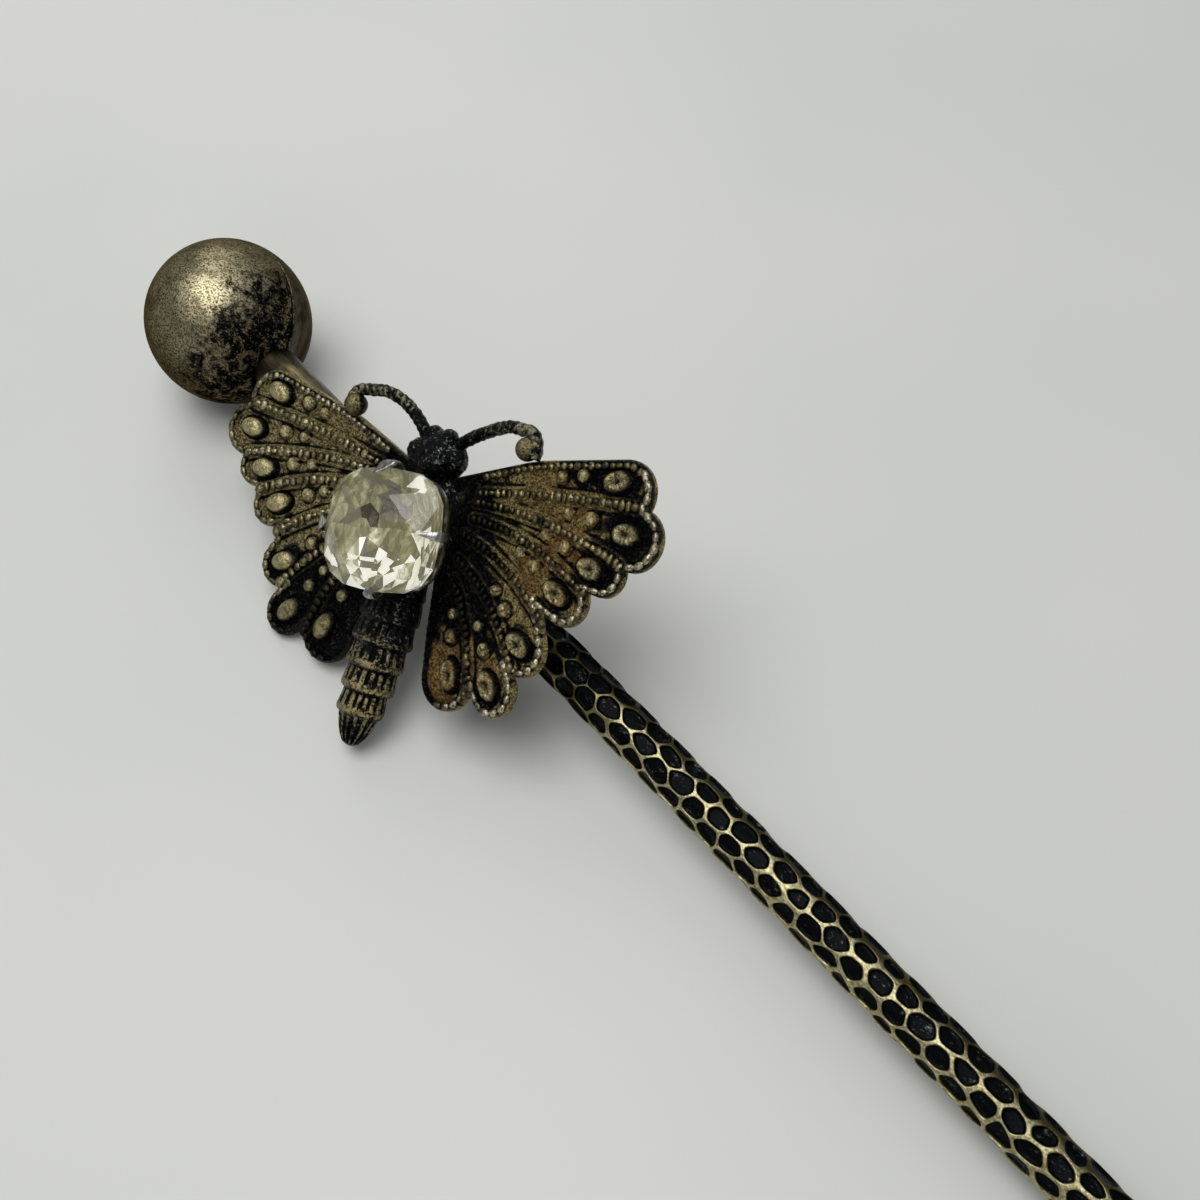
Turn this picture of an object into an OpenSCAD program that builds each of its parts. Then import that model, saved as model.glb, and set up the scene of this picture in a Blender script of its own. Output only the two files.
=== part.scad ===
// Stick pin with a hollow ball head and a jewelled butterfly riveted below it, lying on a flat surface.
// It rests on the ball, on the plain end of the shaft and on one lower wing lobe.
// +X runs from the ball toward the point, +Z is up and the surface is at Z = 0.

/* [Ball] */
// Outer diameter of the ball
ball_d = 15; // [14:0.5:16]
// Thickness of the ball's wall
ball_wall = 0.8; // [0.6:0.1:1.2]
// Width of the groove where the two halves meet
seam_w = 0.3; // [0.2:0.05:0.5]
// Depth of that groove
seam_depth = 0.15; // [0.1:0.05:0.3]

/* [Shaft] */
// Distance from the ball's centre to the end of the point
reach = 142.5; // [138:0.5:146]
// Diameter of the plain neck between the ball and the cells
plain_d = 4.2; // [4.1:0.05:4.4]
// Diameter of the plain end beyond the cells
end_d = 3.7; // [3.4:0.05:3.7]
// Diameter of the celled stretch, over its ridges
cell_d = 4.1; // [3.9:0.05:4.1]
// Number of cells around the shaft
cells_round = 8; // [6:1:10]
// Number of rings of cells
cell_rings = 37; // [20:1:38]
// Distance from one ring of cells to the next
cell_pitch = 2; // [1.8:0.1:2]
// Distance from the ball's centre to the first ring of cells
cells_from = 39; // [38:0.5:40]
// Depth of a cell
cell_depth = 0.35; // [0.2:0.05:0.5]
// Share of a cell that its flat floor takes
floor_share = 0.68; // [0.5:0.02:0.8]
// Length of the tapered point
point_len = 12; // [10:0.5:16]
// Diameter of the blunt tip
tip_d = 1.2; // [1:0.1:2]
// Diameter of the spigot that goes into the ball
spigot_d = 3; // [2.6:0.1:3.2]
// Length of the spigot
spigot_len = 3.6; // [3:0.1:5]

/* [Butterfly] */
// Distance from the ball's centre to the butterfly's middle, along the shaft
fly_at = 32.5; // [31:0.1:34]
// Distance of the butterfly's middle from the shaft's axis, sideways
fly_side = 0.3; // [0:0.1:0.6]
// Height of the butterfly's middle over the shaft's axis
fly_over = 4.7; // [4.4:0.1:5]
// Turn of its wing span away from the shaft's direction
fly_turn = 25.3; // [20:0.1:30]
// Lean of its face toward the ball
fly_lean = 5.1; // [3:0.1:7]
// Nod of its head away from the shaft
fly_nod = 2.3; // [0:0.1:4]
// Turn of the butterfly about the shaft's axis, which brings its lowest lobe to the surface
fly_roll = 40.8; // [38:0.1:42]
// Rise of each wing toward its tip, in degrees
wing_rise = 4.6; // [2:0.1:6]
// Thickness of a wing's plate
plate_t = 0.6; // [0.5:0.05:0.8]
// Width of the raised rim around a wing
rim_w = 0.7; // [0.5:0.05:1]
// Height of the rim over the plate
rim_h = 0.3; // [0.2:0.05:0.4]
// Width of a raised rib between two panels
rib_w = 1; // [0.8:0.1:1.3]
// Height of a rib over the plate
rib_h = 0.45; // [0.3:0.05:0.6]
// Length, width and height of the big boss on each panel
boss = [2.7, 1.9, 0.8];
// Diameter of the outer and the inner dot on each panel
dot_d = [1.2, 1];
// Height of a dot over the plate
dot_h = 0.45; // [0.3:0.05:0.6]
// Length of one tier of the abdomen
tier_len = 1.95; // [1.8:0.05:2.1]
// Half width of the widest tier at its rim
tier_r = 2.75; // [2.5:0.05:2.9]
// Thickness of an antenna
antenna_d = 1; // [0.8:0.1:1.2]

/* [Setting and stone] */
// Length of the stone across the wings
stone_l = 11.7; // [11:0.1:12.4]
// Width of the stone
stone_w = 9.9; // [9:0.1:10]
// Turn of the stone and its setting on the butterfly
stone_turn = 8; // [0:1:12]
// Height of the stone's girdle over the butterfly's middle plane
girdle_z = 4.5; // [4.3:0.05:4.7]
// Thickness of the girdle
girdle_t = 0.4; // [0.3:0.05:0.6]
// Height of the crown over the girdle
crown_h = 1.7; // [1.3:0.1:2]
// Depth of the stone under the girdle
pavilion_h = 2.5; // [2.2:0.1:2.6]
// Share of the stone's length that the table takes
table_share = 0.56; // [0.5:0.02:0.66]
// Width of a prong where it leaves the cup
prong_w = 1.6; // [1.3:0.1:1.8]
// Diameter of the rivet that holds the setting and the butterfly to the shaft
rivet_d = 1.6; // [1.4:0.1:1.8]

/* [Fits] */
// Space between two pieces that touch in the real object
gap = 0.06; // [0.04:0.01:0.1]

/* [Hidden] */
$fn = 48;

ball_r = ball_d / 2;
plain_r = plain_d / 2;
end_r = end_d / 2;
cell_r = cell_d / 2;
// The shaft's shoulder meets a flat seat that is cut into the ball.
seat_x = sqrt(ball_r * ball_r - plain_r * plain_r) - 0.1;
seat_r = plain_r + 0.15;
point_from = reach - point_len;
// The shaft slopes down from the ball's centre to the plain end, which lies on the surface.
slope = asin((ball_r - end_r) / point_from);
cell_end_x = cells_from + cell_pitch * (cell_rings - 1 / 3);
cell_start_x = cells_from - cell_pitch * 2 / 3;
// The neck and the plain end reach this far into the celled stretch.
cell_lap = 0.3;
// Shifts that bring the whole object's footprint to the origin
middle_x = (reach * cos(slope) - ball_r) / 2;
middle_y = -3.84;

// Wing lobes, from the top of the forewing to the tail of the hindwing
LOBE_AT = [[18.5, 7.9], [20.4, 4.9], [18.6, 2], [15.9, -0.8], [13.2, -5.4], [11.4, -9.1], [6.6, -9.5]];
LOBE_R = [2.55, 2.35, 1.8, 1.95, 2.05, 2.1, 2.65];
// The big boss on each lobe, the outer dot and the inner dot
BOSS_AT = [[17.8, 8.6], [19.8, 5.1], [17.5, 2], [15, -0.5], [12.8, -5.1], [11, -8.9], [7, -9.2]];
OUTER_DOT = [[14.6, 8.4], [16.3, 5.5], [14.6, 3], [12.2, 0.9], [10.5, -3], [9.6, -6.4], [6, -6.3]];
INNER_DOT = [[12.6, 7.9], [14.1, 5.5], [12.6, 3.4], [10.6, 1.6], [9.2, -1.8], [8.5, -4.8], [5.6, -4.6]];
// The two circles that the forewing's and the hindwing's panels spread from
FORE_ROOT = [3.5, 3.7];
HIND_ROOT = [4.3, -1.6];
ROOT_R = [2.4, 1.8];
// A third circle rounds the forewing's top edge, and another fills the web between the two wings.
TOP_BULGE = [11.5, 3.6];
TOP_BULGE_R = 5.3;
WEB_AT = [12.6, -2.2];
WEB_R = 1;
// Each rib starts at the root, bends toward a middle point and ends at the notch between two lobes.
RIBS = [
    [[5, 5], [12, 6.6], [20.3, 7.2]],
    [[5, 4.3], [12.4, 4.9], [19.9, 2.9]],
    [[5, 3], [12, 3.1], [17.6, 0]],
    [[4.5, 1.6], [9.8, 0.8], [14.6, -3.1]],
    [[4.6, -0.4], [8.8, -1.8], [12.8, -7.1]],
    [[4.6, -2], [7.9, -4.6], [9, -10.4]]
];
RIB_STEPS = 4;
FORE_LOBES = 4;
// Depth to which a boss or a dot reaches into the plate
DOME_ROOT = 0.2;

HEAD_AT = [0, 6.9, 0.2];
HEAD_R = 2.3;
EYE_AT = [1.9, 6.9, 0.3];
EYE_R = 1;
BUMP_AT = [0.75, 8.6, 0.45];
BUMP_R = 0.65;
THORAX_AT = [0, 1.4, -0.3];
THORAX_R = [3.6, 5.2, 1.3];
// An antenna rises from the head along a bend and ends in a curl around a ball. The left one bends higher.
RIGHT_BEND = [[2, 8.4, 0.45], [4.7, 10.1, 0.95], [7.4, 10.75, 1.25]];
LEFT_BEND = [[2, 8.6, 0.45], [3.9, 10.9, 0.95], [7, 11, 1.25]];
CURL_AT = [8.05, 9.1, 1.3];
CURL_R = 1.8;
// Height that the curl loses from its start to its tip, for each degree of its turn
CURL_DIP = 0.002;
TIP_BALL_AT = [9.05, 9.25, 1.3];
TIP_BALL_R = 0.85;
// Each tier's half width at its rim, as a share of the widest, from the thorax to the tail
TIER_SHARE = [0.93, 1, 1, 0.95, 0.89, 0.79];
ABDOMEN_FROM = -2.9;
ABDOMEN_Z = 0.85;
// Height that the abdomen gains on each millimetre toward the tail
ABDOMEN_RISE = 0.075;
TIER_FLARE = 1.12;
FLUTES = 16;
FLUTE_DEPTH = 0.1;
ABDOMEN_TALL = 0.75;
// Sections of the tail as distance past the last tier and half width as a share of the widest tier
TAIL = [[-0.05, 0.66], [1.4, 0.5], [2.5, 0.22]];
SADDLE_R = [3.1, 2.4];
SADDLE_LOW = 1.1;
SETTING_Y = 0.3;
CUP_Z = 1.15;
CUP_T = 0.45;
CUP_R = 2.6;
// Outside and inside of the collet as shares of the stone's outline
COLLET_SHARE = [0.94, 0.83];
// Distance from the girdle down to the collet's top, and the collet's height
COLLET_DROP = 0.75;
COLLET_H = 0.5;
// Directions of the arms that carry the collet on the cup. None goes toward the abdomen.
ARMS = [0, 90, 180];
PRONG_T = 0.5;
// Each prong's direction, the width of its claw, its reach over the stone and the tip's shift to one side
PRONGS = [
    [0, 1.1, 1.1, 0],
    [90, 1.5, 0.7, 0.7],
    [180, 1.4, 1.2, -0.1],
    [270, 1, 0.5, 0.3]
];
collet_z = girdle_z - COLLET_DROP - COLLET_H;
// Crown facets between the girdle and the table: share of the stone's outline and share of the crown's height
CROWN_BEND = [0.84, 0.5];

// Frame of the shaft: +X along its axis from the ball's centre, +Z the way the butterfly faces.
module on_shaft() {
    translate([-middle_x, -middle_y, ball_r])
        rotate([0, slope, 0])
            rotate([fly_roll, 0, 0])
                children();
}

// Frame of the butterfly: +X across the wings, +Y toward the head, +Z out of its face.
module on_butterfly() {
    on_shaft()
        translate([fly_at, fly_side, fly_over])
            rotate([-fly_nod, -fly_lean, fly_turn])
                children();
}

// A straight rod along the shaft's axis, from one place to another
module rod(from, to, r) {
    translate([from, 0, 0])
        rotate([0, 90, 0])
            cylinder(h = to - from, r = r);
}

// Point on the celled stretch at a distance along the axis, an angle in steps of one cell, and a radius
function on_round(x, turn, r) = [x, r * sin(turn * 360 / cells_round), r * cos(turn * 360 / cells_round)];

// The ridge corners stand in columns around the shaft. These give a column's place and its turn.
function column_x(c) = cells_from + cell_pitch * (floor(c / 2) - (c % 2 == 0 ? 2 : 1) / 3);
function column_turn(c) = (floor((c + 1) / 2) % 2) / 2;
function corner_id(c, m) = c * cells_round + (m + cells_round) % cells_round;

// The six corners of a cell: the two ends and the four side corners, in order around it
function cell_corners(i, j) =
    let (up = j + i % 2)
    [corner_id(2 * i, j), corner_id(2 * i + 1, up), corner_id(2 * i + 2, up),
     corner_id(2 * i + 3, j), corner_id(2 * i + 2, up - 1), corner_id(2 * i + 1, up - 1)];

// Places of a cell's floor corners, as the distance from its middle in pitches and in cells around
CELL_SHAPE = [[-2 / 3, 0], [-1 / 3, 1 / 2], [1 / 3, 1 / 2], [2 / 3, 0], [1 / 3, -1 / 2], [-1 / 3, -1 / 2]];

// A round bar covered in sunk six-sided cells with sharp ridges between them
module honeycomb() {
    columns = 2 * cell_rings + 2;
    ridge_points = [for (c = [0 : columns - 1], m = [0 : cells_round - 1])
        on_round(column_x(c), m + column_turn(c), cell_r)];
    floor_points = [for (i = [0 : cell_rings - 1], j = [0 : cells_round - 1], q = CELL_SHAPE)
        on_round(cells_from + cell_pitch * (i + floor_share * q[0]),
                 j + (i % 2) / 2 + floor_share * q[1], cell_r - cell_depth)];
    first_floor = len(ridge_points);
    cell_faces = [for (i = [0 : cell_rings - 1], j = [0 : cells_round - 1])
        let (top = cell_corners(i, j), low = first_floor + 6 * (i * cells_round + j))
        each concat(
            [for (k = [0 : 5]) each [[top[k], top[(k + 1) % 6], low + (k + 1) % 6],
                                     [top[k], low + (k + 1) % 6, low + k]]],
            [[low, low + 1, low + 5], [low + 1, low + 2, low + 4],
             [low + 1, low + 4, low + 5], [low + 2, low + 3, low + 4]])];
    last_turn = 2 * column_turn(columns - 1);
    end_faces = [for (m = [0 : cells_round - 1]) each [
        [corner_id(0, m), corner_id(0, m + 1), corner_id(1, m)],
        [corner_id(columns - 1, m), corner_id(columns - 2, m + last_turn), corner_id(columns - 1, m + 1)]]];
    caps = [[for (m = [cells_round - 1 : -1 : 0]) corner_id(0, m)],
            [for (m = [0 : cells_round - 1]) corner_id(columns - 1, m)]];
    polyhedron(concat(ridge_points, floor_points), concat(cell_faces, end_faces, caps), convexity = 10);
}

// The plain end of the shaft with its tapered point, turned in one piece
module plain_end() {
    translate([cell_end_x - cell_lap, 0, 0])
        rotate([0, 90, 0])
            rotate_extrude()
                polygon([[0, 0], [end_r, 0], [end_r, point_from - cell_end_x + cell_lap],
                         [tip_d / 2, reach - cell_end_x + cell_lap], [0, reach - cell_end_x + cell_lap]]);
}

module shaft() {
    color("darkkhaki") on_shaft() difference() {
        union() {
            rod(seat_x + gap, cell_start_x + cell_lap, plain_r);
            rod(seat_x - spigot_len, seat_x + 2 * gap, spigot_d / 2);
            honeycomb();
            plain_end();
        }
        rivet(gap);
    }
}

module ball() {
    color("rosybrown") on_shaft() difference() {
        rotate([0, 0, 90]) sphere(ball_r, $fn = 96);
        rotate([0, 0, 90]) sphere(ball_r - ball_wall, $fn = 96);
        rod(ball_r / 2, ball_r, spigot_d / 2 + gap);
        rod(seat_x, ball_d, seat_r);
        rotate_extrude($fn = 96)
            translate([ball_r, 0])
                square([2 * seam_depth, seam_w], center = true);
    }
}

// The rivet from the setting's cup through the butterfly into the shaft, with space around it for the bores
module rivet(space) {
    translate([fly_at, fly_side, fly_over])
        rotate([-fly_nod, -fly_lean, fly_turn])
            translate([0, -fly_side, -fly_over - space])
                cylinder(h = fly_over + CUP_Z + CUP_T / 2 + space, r = rivet_d / 2 + space);
}

// Outline of the right wing: seven round lobes, each joined to the root
module wing_outline() {
    for (i = [0 : len(LOBE_AT) - 1])
        hull() {
            translate(i < FORE_LOBES ? FORE_ROOT : HIND_ROOT) circle(ROOT_R[i < FORE_LOBES ? 0 : 1], $fn = 16);
            translate(LOBE_AT[i]) circle(LOBE_R[i], $fn = 24);
            if (i == 0) translate(TOP_BULGE) circle(TOP_BULGE_R, $fn = 36);
            if (i == FORE_LOBES) {
                translate(FORE_ROOT) circle(ROOT_R[0], $fn = 16);
                translate(WEB_AT) circle(WEB_R, $fn = 12);
            }
        }
}

// Point at share t along a bend through three points
function on_bend(p, t) = (1 - t) * (1 - t) * p[0] + 2 * t * (1 - t) * p[1] + t * t * p[2];

// One raised rib with sloping sides
module rib(bend) {
    for (k = [0 : RIB_STEPS - 1])
        hull()
            for (t = [k / RIB_STEPS, (k + 1) / RIB_STEPS])
                translate(on_bend(bend, t))
                    cylinder(h = rib_h, r1 = rib_w / 2, r2 = rib_w / 5, $fn = 6);
}

// A round dome with sloping sides and a flat top, standing on the wing's plate
module dome(r, h, sides) {
    hull() {
        translate([0, 0, -DOME_ROOT]) cylinder(h = DOME_ROOT, r = r, $fn = sides);
        cylinder(h = 0.6 * h, r1 = r, r2 = 0.82 * r, $fn = sides);
        cylinder(h = h, r = 0.4 * r, $fn = sides);
    }
}

// An oval boss whose length points away from the wing's root
module big_boss(i) {
    away = BOSS_AT[i] - (i < FORE_LOBES ? FORE_ROOT : HIND_ROOT);
    translate(BOSS_AT[i])
        rotate(atan2(away[1], away[0]))
            scale([1, boss[1] / boss[0], 1])
                dome(boss[0] / 2, boss[2], 12);
}

module wing() {
    rotate([0, -wing_rise, 0]) {
        translate([0, 0, -plate_t]) linear_extrude(plate_t) wing_outline();
        linear_extrude(rim_h) difference() {
            wing_outline();
            offset(delta = -rim_w) wing_outline();
        }
        for (bend = RIBS) rib(bend);
        for (i = [0 : len(LOBE_AT) - 1]) {
            big_boss(i);
            translate(OUTER_DOT[i]) dome(dot_d[0] / 2, dot_h, 8);
            translate(INNER_DOT[i]) dome(dot_d[1] / 2, dot_h, 8);
        }
    }
}

// Round bar through a list of points, each piece a hull of two balls
module bar(points, r) {
    for (k = [1 : len(points) - 1])
        hull() {
            translate(points[k - 1]) sphere(r, $fn = 8);
            translate(points[k]) sphere(r, $fn = 8);
        }
}

module antenna(bend) {
    rise = [for (t = [0 : 1 / 3 : 1]) on_bend(bend, t)];
    curl = [for (a = [60 : -25 : -15]) CURL_AT + [CURL_R * cos(a), CURL_R * sin(a), CURL_DIP * a]];
    bar(concat(rise, curl), antenna_d / 2);
    translate(TIP_BALL_AT) sphere(TIP_BALL_R, $fn = 12);
}

module head() {
    translate(HEAD_AT) scale([1, 1, 0.9]) sphere(HEAD_R, $fn = 16);
    for (side = [-1, 1]) {
        translate([side * EYE_AT[0], EYE_AT[1], EYE_AT[2]]) sphere(EYE_R, $fn = 12);
        translate([side * BUMP_AT[0], BUMP_AT[1], BUMP_AT[2]]) sphere(BUMP_R, $fn = 8);
    }
}

// Cross-section of the abdomen with lengthwise ridges
module fluted(r) {
    polygon([for (k = [0 : 2 * FLUTES - 1])
        (r - (k % 2) * FLUTE_DEPTH) * [cos(k * 180 / FLUTES), ABDOMEN_TALL * sin(k * 180 / FLUTES)]]);
}

// Moves a section to a distance past the abdomen's start and turns it across the abdomen
module across(distance) {
    translate([0, ABDOMEN_FROM - distance, ABDOMEN_Z + ABDOMEN_RISE * distance])
        rotate([90, 0, 0])
            children();
}

// Tiers that widen toward their rims, then a fluted tail that narrows
module abdomen() {
    for (k = [0 : len(TIER_SHARE) - 1])
        across(k * tier_len)
            linear_extrude(tier_len + 0.05, scale = TIER_FLARE)
                fluted(tier_r * TIER_SHARE[k] / TIER_FLARE);
    hull()
        for (section = TAIL)
            across(len(TIER_SHARE) * tier_len + section[0])
                linear_extrude(0.1) fluted(tier_r * section[1]);
}

// Boss under the body that straddles the shaft
module saddle() {
    hull() {
        translate([0, 0, -plate_t]) cylinder(h = 0.1, r = SADDLE_R[0], $fn = 24);
        translate([0, 0, -fly_over + SADDLE_LOW]) cylinder(h = 0.1, r = SADDLE_R[1], $fn = 24);
    }
}

module butterfly() {
    color("darkolivegreen") difference() {
        on_butterfly() {
            wing();
            mirror([1, 0, 0]) wing();
            antenna(RIGHT_BEND);
            mirror([1, 0, 0]) antenna(LEFT_BEND);
            translate(THORAX_AT) scale(THORAX_R) sphere(1, $fn = 20);
            head();
            abdomen();
            saddle();
        }
        on_shaft() {
            rod(0, cells_from, plain_r + gap);
            rivet(2 * gap);
        }
    }
}

// Outline of the stone: a rounded oblong, as a share of its full size
function cushion(share, n) = [for (k = [0 : n - 1])
    let (a = (k + 0.5) * 360 / n, c = cos(a), s = sin(a), e = 2 / 2.9)
    [share * stone_l / 2 * sign(c) * pow(abs(c), e), share * stone_w / 2 * sign(s) * pow(abs(s), e)]];

module slab(share, n, z, h) {
    translate([0, 0, z]) linear_extrude(h) polygon(cushion(share, n));
}

// Height of the stone's crown over the girdle, at a distance in from the stone's edge
function crown_at(inset, side) = lookup(inset, [
    [0, 0],
    [side * (1 - CROWN_BEND[0]), crown_h * CROWN_BEND[1]],
    [side * (1 - table_share), crown_h]
]);

// A cup on the rivet, arms up to a collet ring under the stone and four prongs that fold over the crown
module setting() {
    color("silver") {
        on_shaft() rivet(0);
        on_butterfly() translate([0, SETTING_Y, 0]) rotate([0, 0, stone_turn]) {
            translate([0, 0, CUP_Z]) cylinder(h = CUP_T, r = CUP_R, $fn = 24);
            translate([0, 0, collet_z]) linear_extrude(COLLET_H) difference() {
                polygon(cushion(COLLET_SHARE[0], 24));
                polygon(cushion(COLLET_SHARE[1], 24));
            }
            for (turn = ARMS) rotate([0, 0, turn]) arm(half_size(turn));
            for (row = PRONGS) rotate([0, 0, row[0]]) prong(row, half_size(row[0]));
        }
    }
}

// Half the stone's length or width, whichever lies along a direction
function half_size(turn) = (turn % 180 == 0 ? stone_l : stone_w) / 2;

module arm(side) {
    hull() {
        translate([CUP_R - 0.6, -prong_w / 2, CUP_Z]) cube([0.3, prong_w, CUP_T]);
        translate([COLLET_SHARE[1] * side + 0.1, -prong_w / 2, collet_z]) cube([0.3, prong_w, COLLET_H]);
    }
}

// One prong: a foot on the collet, a post beside the girdle, then a claw that narrows to a point over the crown
module prong(row, side) {
    out = side + 2 * gap;
    wide = row[1];
    top_z = girdle_z + girdle_t;
    tip_z = top_z + crown_at(row[2], side) + 3 * gap;
    hull() {
        translate([COLLET_SHARE[1] * side + 0.1, -wide / 2, collet_z]) cube([0.3, wide, COLLET_H]);
        translate([out, -wide / 2, girdle_z - 0.5]) cube([PRONG_T, wide, 0.3]);
    }
    hull() {
        translate([out, -wide / 2, girdle_z - 0.5]) cube([PRONG_T, wide, 0.3]);
        translate([out, -wide / 2, top_z]) cube([PRONG_T * 0.8, wide, 0.3]);
    }
    hull() {
        translate([out, -wide / 2, top_z]) cube([PRONG_T * 0.8, wide, 0.3]);
        translate([side - row[2], row[3] - 0.1, tip_z]) cube([0.2, 0.2, 0.2]);
    }
}

// A faceted cushion stone: a flat table, a ring of crown facets, the girdle and a faceted pavilion
module stone() {
    color("wheat") on_butterfly() translate([0, SETTING_Y, 0]) rotate([0, 0, stone_turn]) hull() {
        slab(1, 16, girdle_z, girdle_t);
        slab(CROWN_BEND[0], 8, girdle_z + girdle_t + crown_h * CROWN_BEND[1], 0.01);
        slab(table_share, 8, girdle_z + girdle_t + crown_h - 0.01, 0.01);
        slab(0.62, 8, girdle_z - pavilion_h * 0.5, 0.01);
        slab(0.06, 8, girdle_z - pavilion_h, 0.01);
    }
}

shaft();
ball();
butterfly();
setting();
stone();
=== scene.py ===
"""Dresses the stick pin: brass ball, honeycomb shaft, cast butterfly, silver claws and a pale cut stone.

Lengths in the tables are millimetres in the frame of the piece that they belong to.
"""
import math

import bmesh
import bpy
import numpy as np
from mathutils import Matrix, Vector, noise
from mathutils.geometry import delaunay_2d_cdt


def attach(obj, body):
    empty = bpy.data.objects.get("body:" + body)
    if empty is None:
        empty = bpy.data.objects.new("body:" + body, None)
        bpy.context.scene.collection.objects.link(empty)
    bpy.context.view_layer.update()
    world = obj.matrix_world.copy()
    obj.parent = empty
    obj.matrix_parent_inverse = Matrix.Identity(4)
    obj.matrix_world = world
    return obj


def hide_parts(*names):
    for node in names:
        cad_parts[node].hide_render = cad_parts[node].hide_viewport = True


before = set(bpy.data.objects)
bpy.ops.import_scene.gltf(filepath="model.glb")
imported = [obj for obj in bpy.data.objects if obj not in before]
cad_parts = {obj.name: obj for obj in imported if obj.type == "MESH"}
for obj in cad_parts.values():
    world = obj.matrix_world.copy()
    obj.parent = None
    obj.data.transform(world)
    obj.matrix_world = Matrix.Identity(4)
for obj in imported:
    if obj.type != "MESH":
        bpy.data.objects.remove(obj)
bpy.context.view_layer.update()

# Places

MM = 0.001
BALL_R = 7.5
NECK_R, CELL_R, END_R, TIP_R = 2.1, 2.05, 1.85, 0.6
# Distances from the ball's centre to the tip and to the start of its taper
REACH, POINT_FROM = 142.5, 130.5
# The cells: rings, cells in a ring, distance between rings, place of the first ring and depth
CELL_RINGS, CELLS_ROUND, CELL_PITCH, FIRST_RING, CELL_DEPTH = 37, 8, 2, 39, 0.33
CELLS_FROM = FIRST_RING - CELL_PITCH * 2 / 3
CELLS_TO = FIRST_RING + CELL_PITCH * (CELL_RINGS - 1 / 3)
SLOPE = math.asin((BALL_R - END_R) / POINT_FROM)
MIDDLE_X, MIDDLE_Y = (REACH * math.cos(SLOPE) - BALL_R) / 2, 3.84
# The butterfly's middle from the shaft's axis, its roll round the shaft, then its turn, lean and nod
FLY_AT = (32.5, 0.3, 4.7)
FLY_ROLL, FLY_TURN, FLY_LEAN, FLY_NOD = 40.8, 25.3, 5.1, 2.3
WING_RISE = 4.6
STONE_Y, STONE_TURN = 0.3, 8
MIRROR = Matrix.Scale(-1, 4, (1, 0, 0))


def turned(degrees, axis):
    return Matrix.Rotation(math.radians(degrees), 4, axis)


# +X along the shaft from the ball's centre, +Z the way the butterfly faces
PIN = Matrix.Translation((-MIDDLE_X, MIDDLE_Y, BALL_R))
PIN = PIN @ Matrix.Rotation(SLOPE, 4, "Y") @ turned(FLY_ROLL, "X")
# +X across the wings, +Y toward the head, +Z out of the butterfly's face
FLY = PIN @ Matrix.Translation(FLY_AT)
FLY = FLY @ turned(FLY_TURN, "Z") @ turned(-FLY_LEAN, "Y") @ turned(-FLY_NOD, "X")
WING = {"right": FLY @ turned(-WING_RISE, "Y"), "left": FLY @ MIRROR @ turned(-WING_RISE, "Y")}
# +X along the stone's length
GEM = FLY @ Matrix.Translation((0, STONE_Y, 0)) @ turned(STONE_TURN, "Z")

# Node boards


def spaced(named):
    """Inputs by the name that a node shows, from keywords with _ for a space."""
    return {name.replace("_", " "): given for name, given in named.items()}


class Value:
    """A node's output that can be used in arithmetic."""

    def __init__(self, board, socket):
        self.board, self.socket = board, socket

    def __add__(self, other):
        return self.board.calc("ADD", self, other)

    def __sub__(self, other):
        return self.board.calc("SUBTRACT", self, other)

    def __rsub__(self, other):
        return self.board.calc("SUBTRACT", other, self)

    def __mul__(self, other):
        return self.board.calc("MULTIPLY", self, other)

    def __truediv__(self, other):
        return self.board.calc("DIVIDE", self, other)

    __radd__, __rmul__ = __add__, __mul__


class Board:
    """The nodes of one material or of one Geometry Nodes tree."""

    def __init__(self, tree):
        self.tree = tree

    def add(self, kind, settings=None, inputs=None, out=0):
        node = self.tree.nodes.new(kind)
        for name, setting in (settings or {}).items():
            if name == "stops":
                ramp = node.color_ramp
                while len(ramp.elements) < len(setting):
                    ramp.elements.new(1)
                for stop, (place, colour) in zip(ramp.elements, setting):
                    stop.position, stop.color = place, (*colour, 1)
            else:
                setattr(node, name, setting)
        for name, given in (inputs or {}).items():
            if isinstance(given, Value):
                self.tree.links.new(given.socket, node.inputs[name])
            elif given is not None:
                node.inputs[name].default_value = given
        return Value(self, node.outputs[out]) if len(node.outputs) else node

    def calc(self, operation, first, second=None):
        return self.add("ShaderNodeMath", {"operation": operation}, {0: first, 1: second})

    def vectors(self, operation, first, second, out="Vector"):
        return self.add("ShaderNodeVectorMath", {"operation": operation}, {0: first, 1: second}, out)

    def part(self, vector, axis):
        return self.add("ShaderNodeSeparateXYZ", None, {0: vector}, axis)

    def vector(self, x, y, z):
        return self.add("ShaderNodeCombineXYZ", None, {0: x, 1: y, 2: z})


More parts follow.
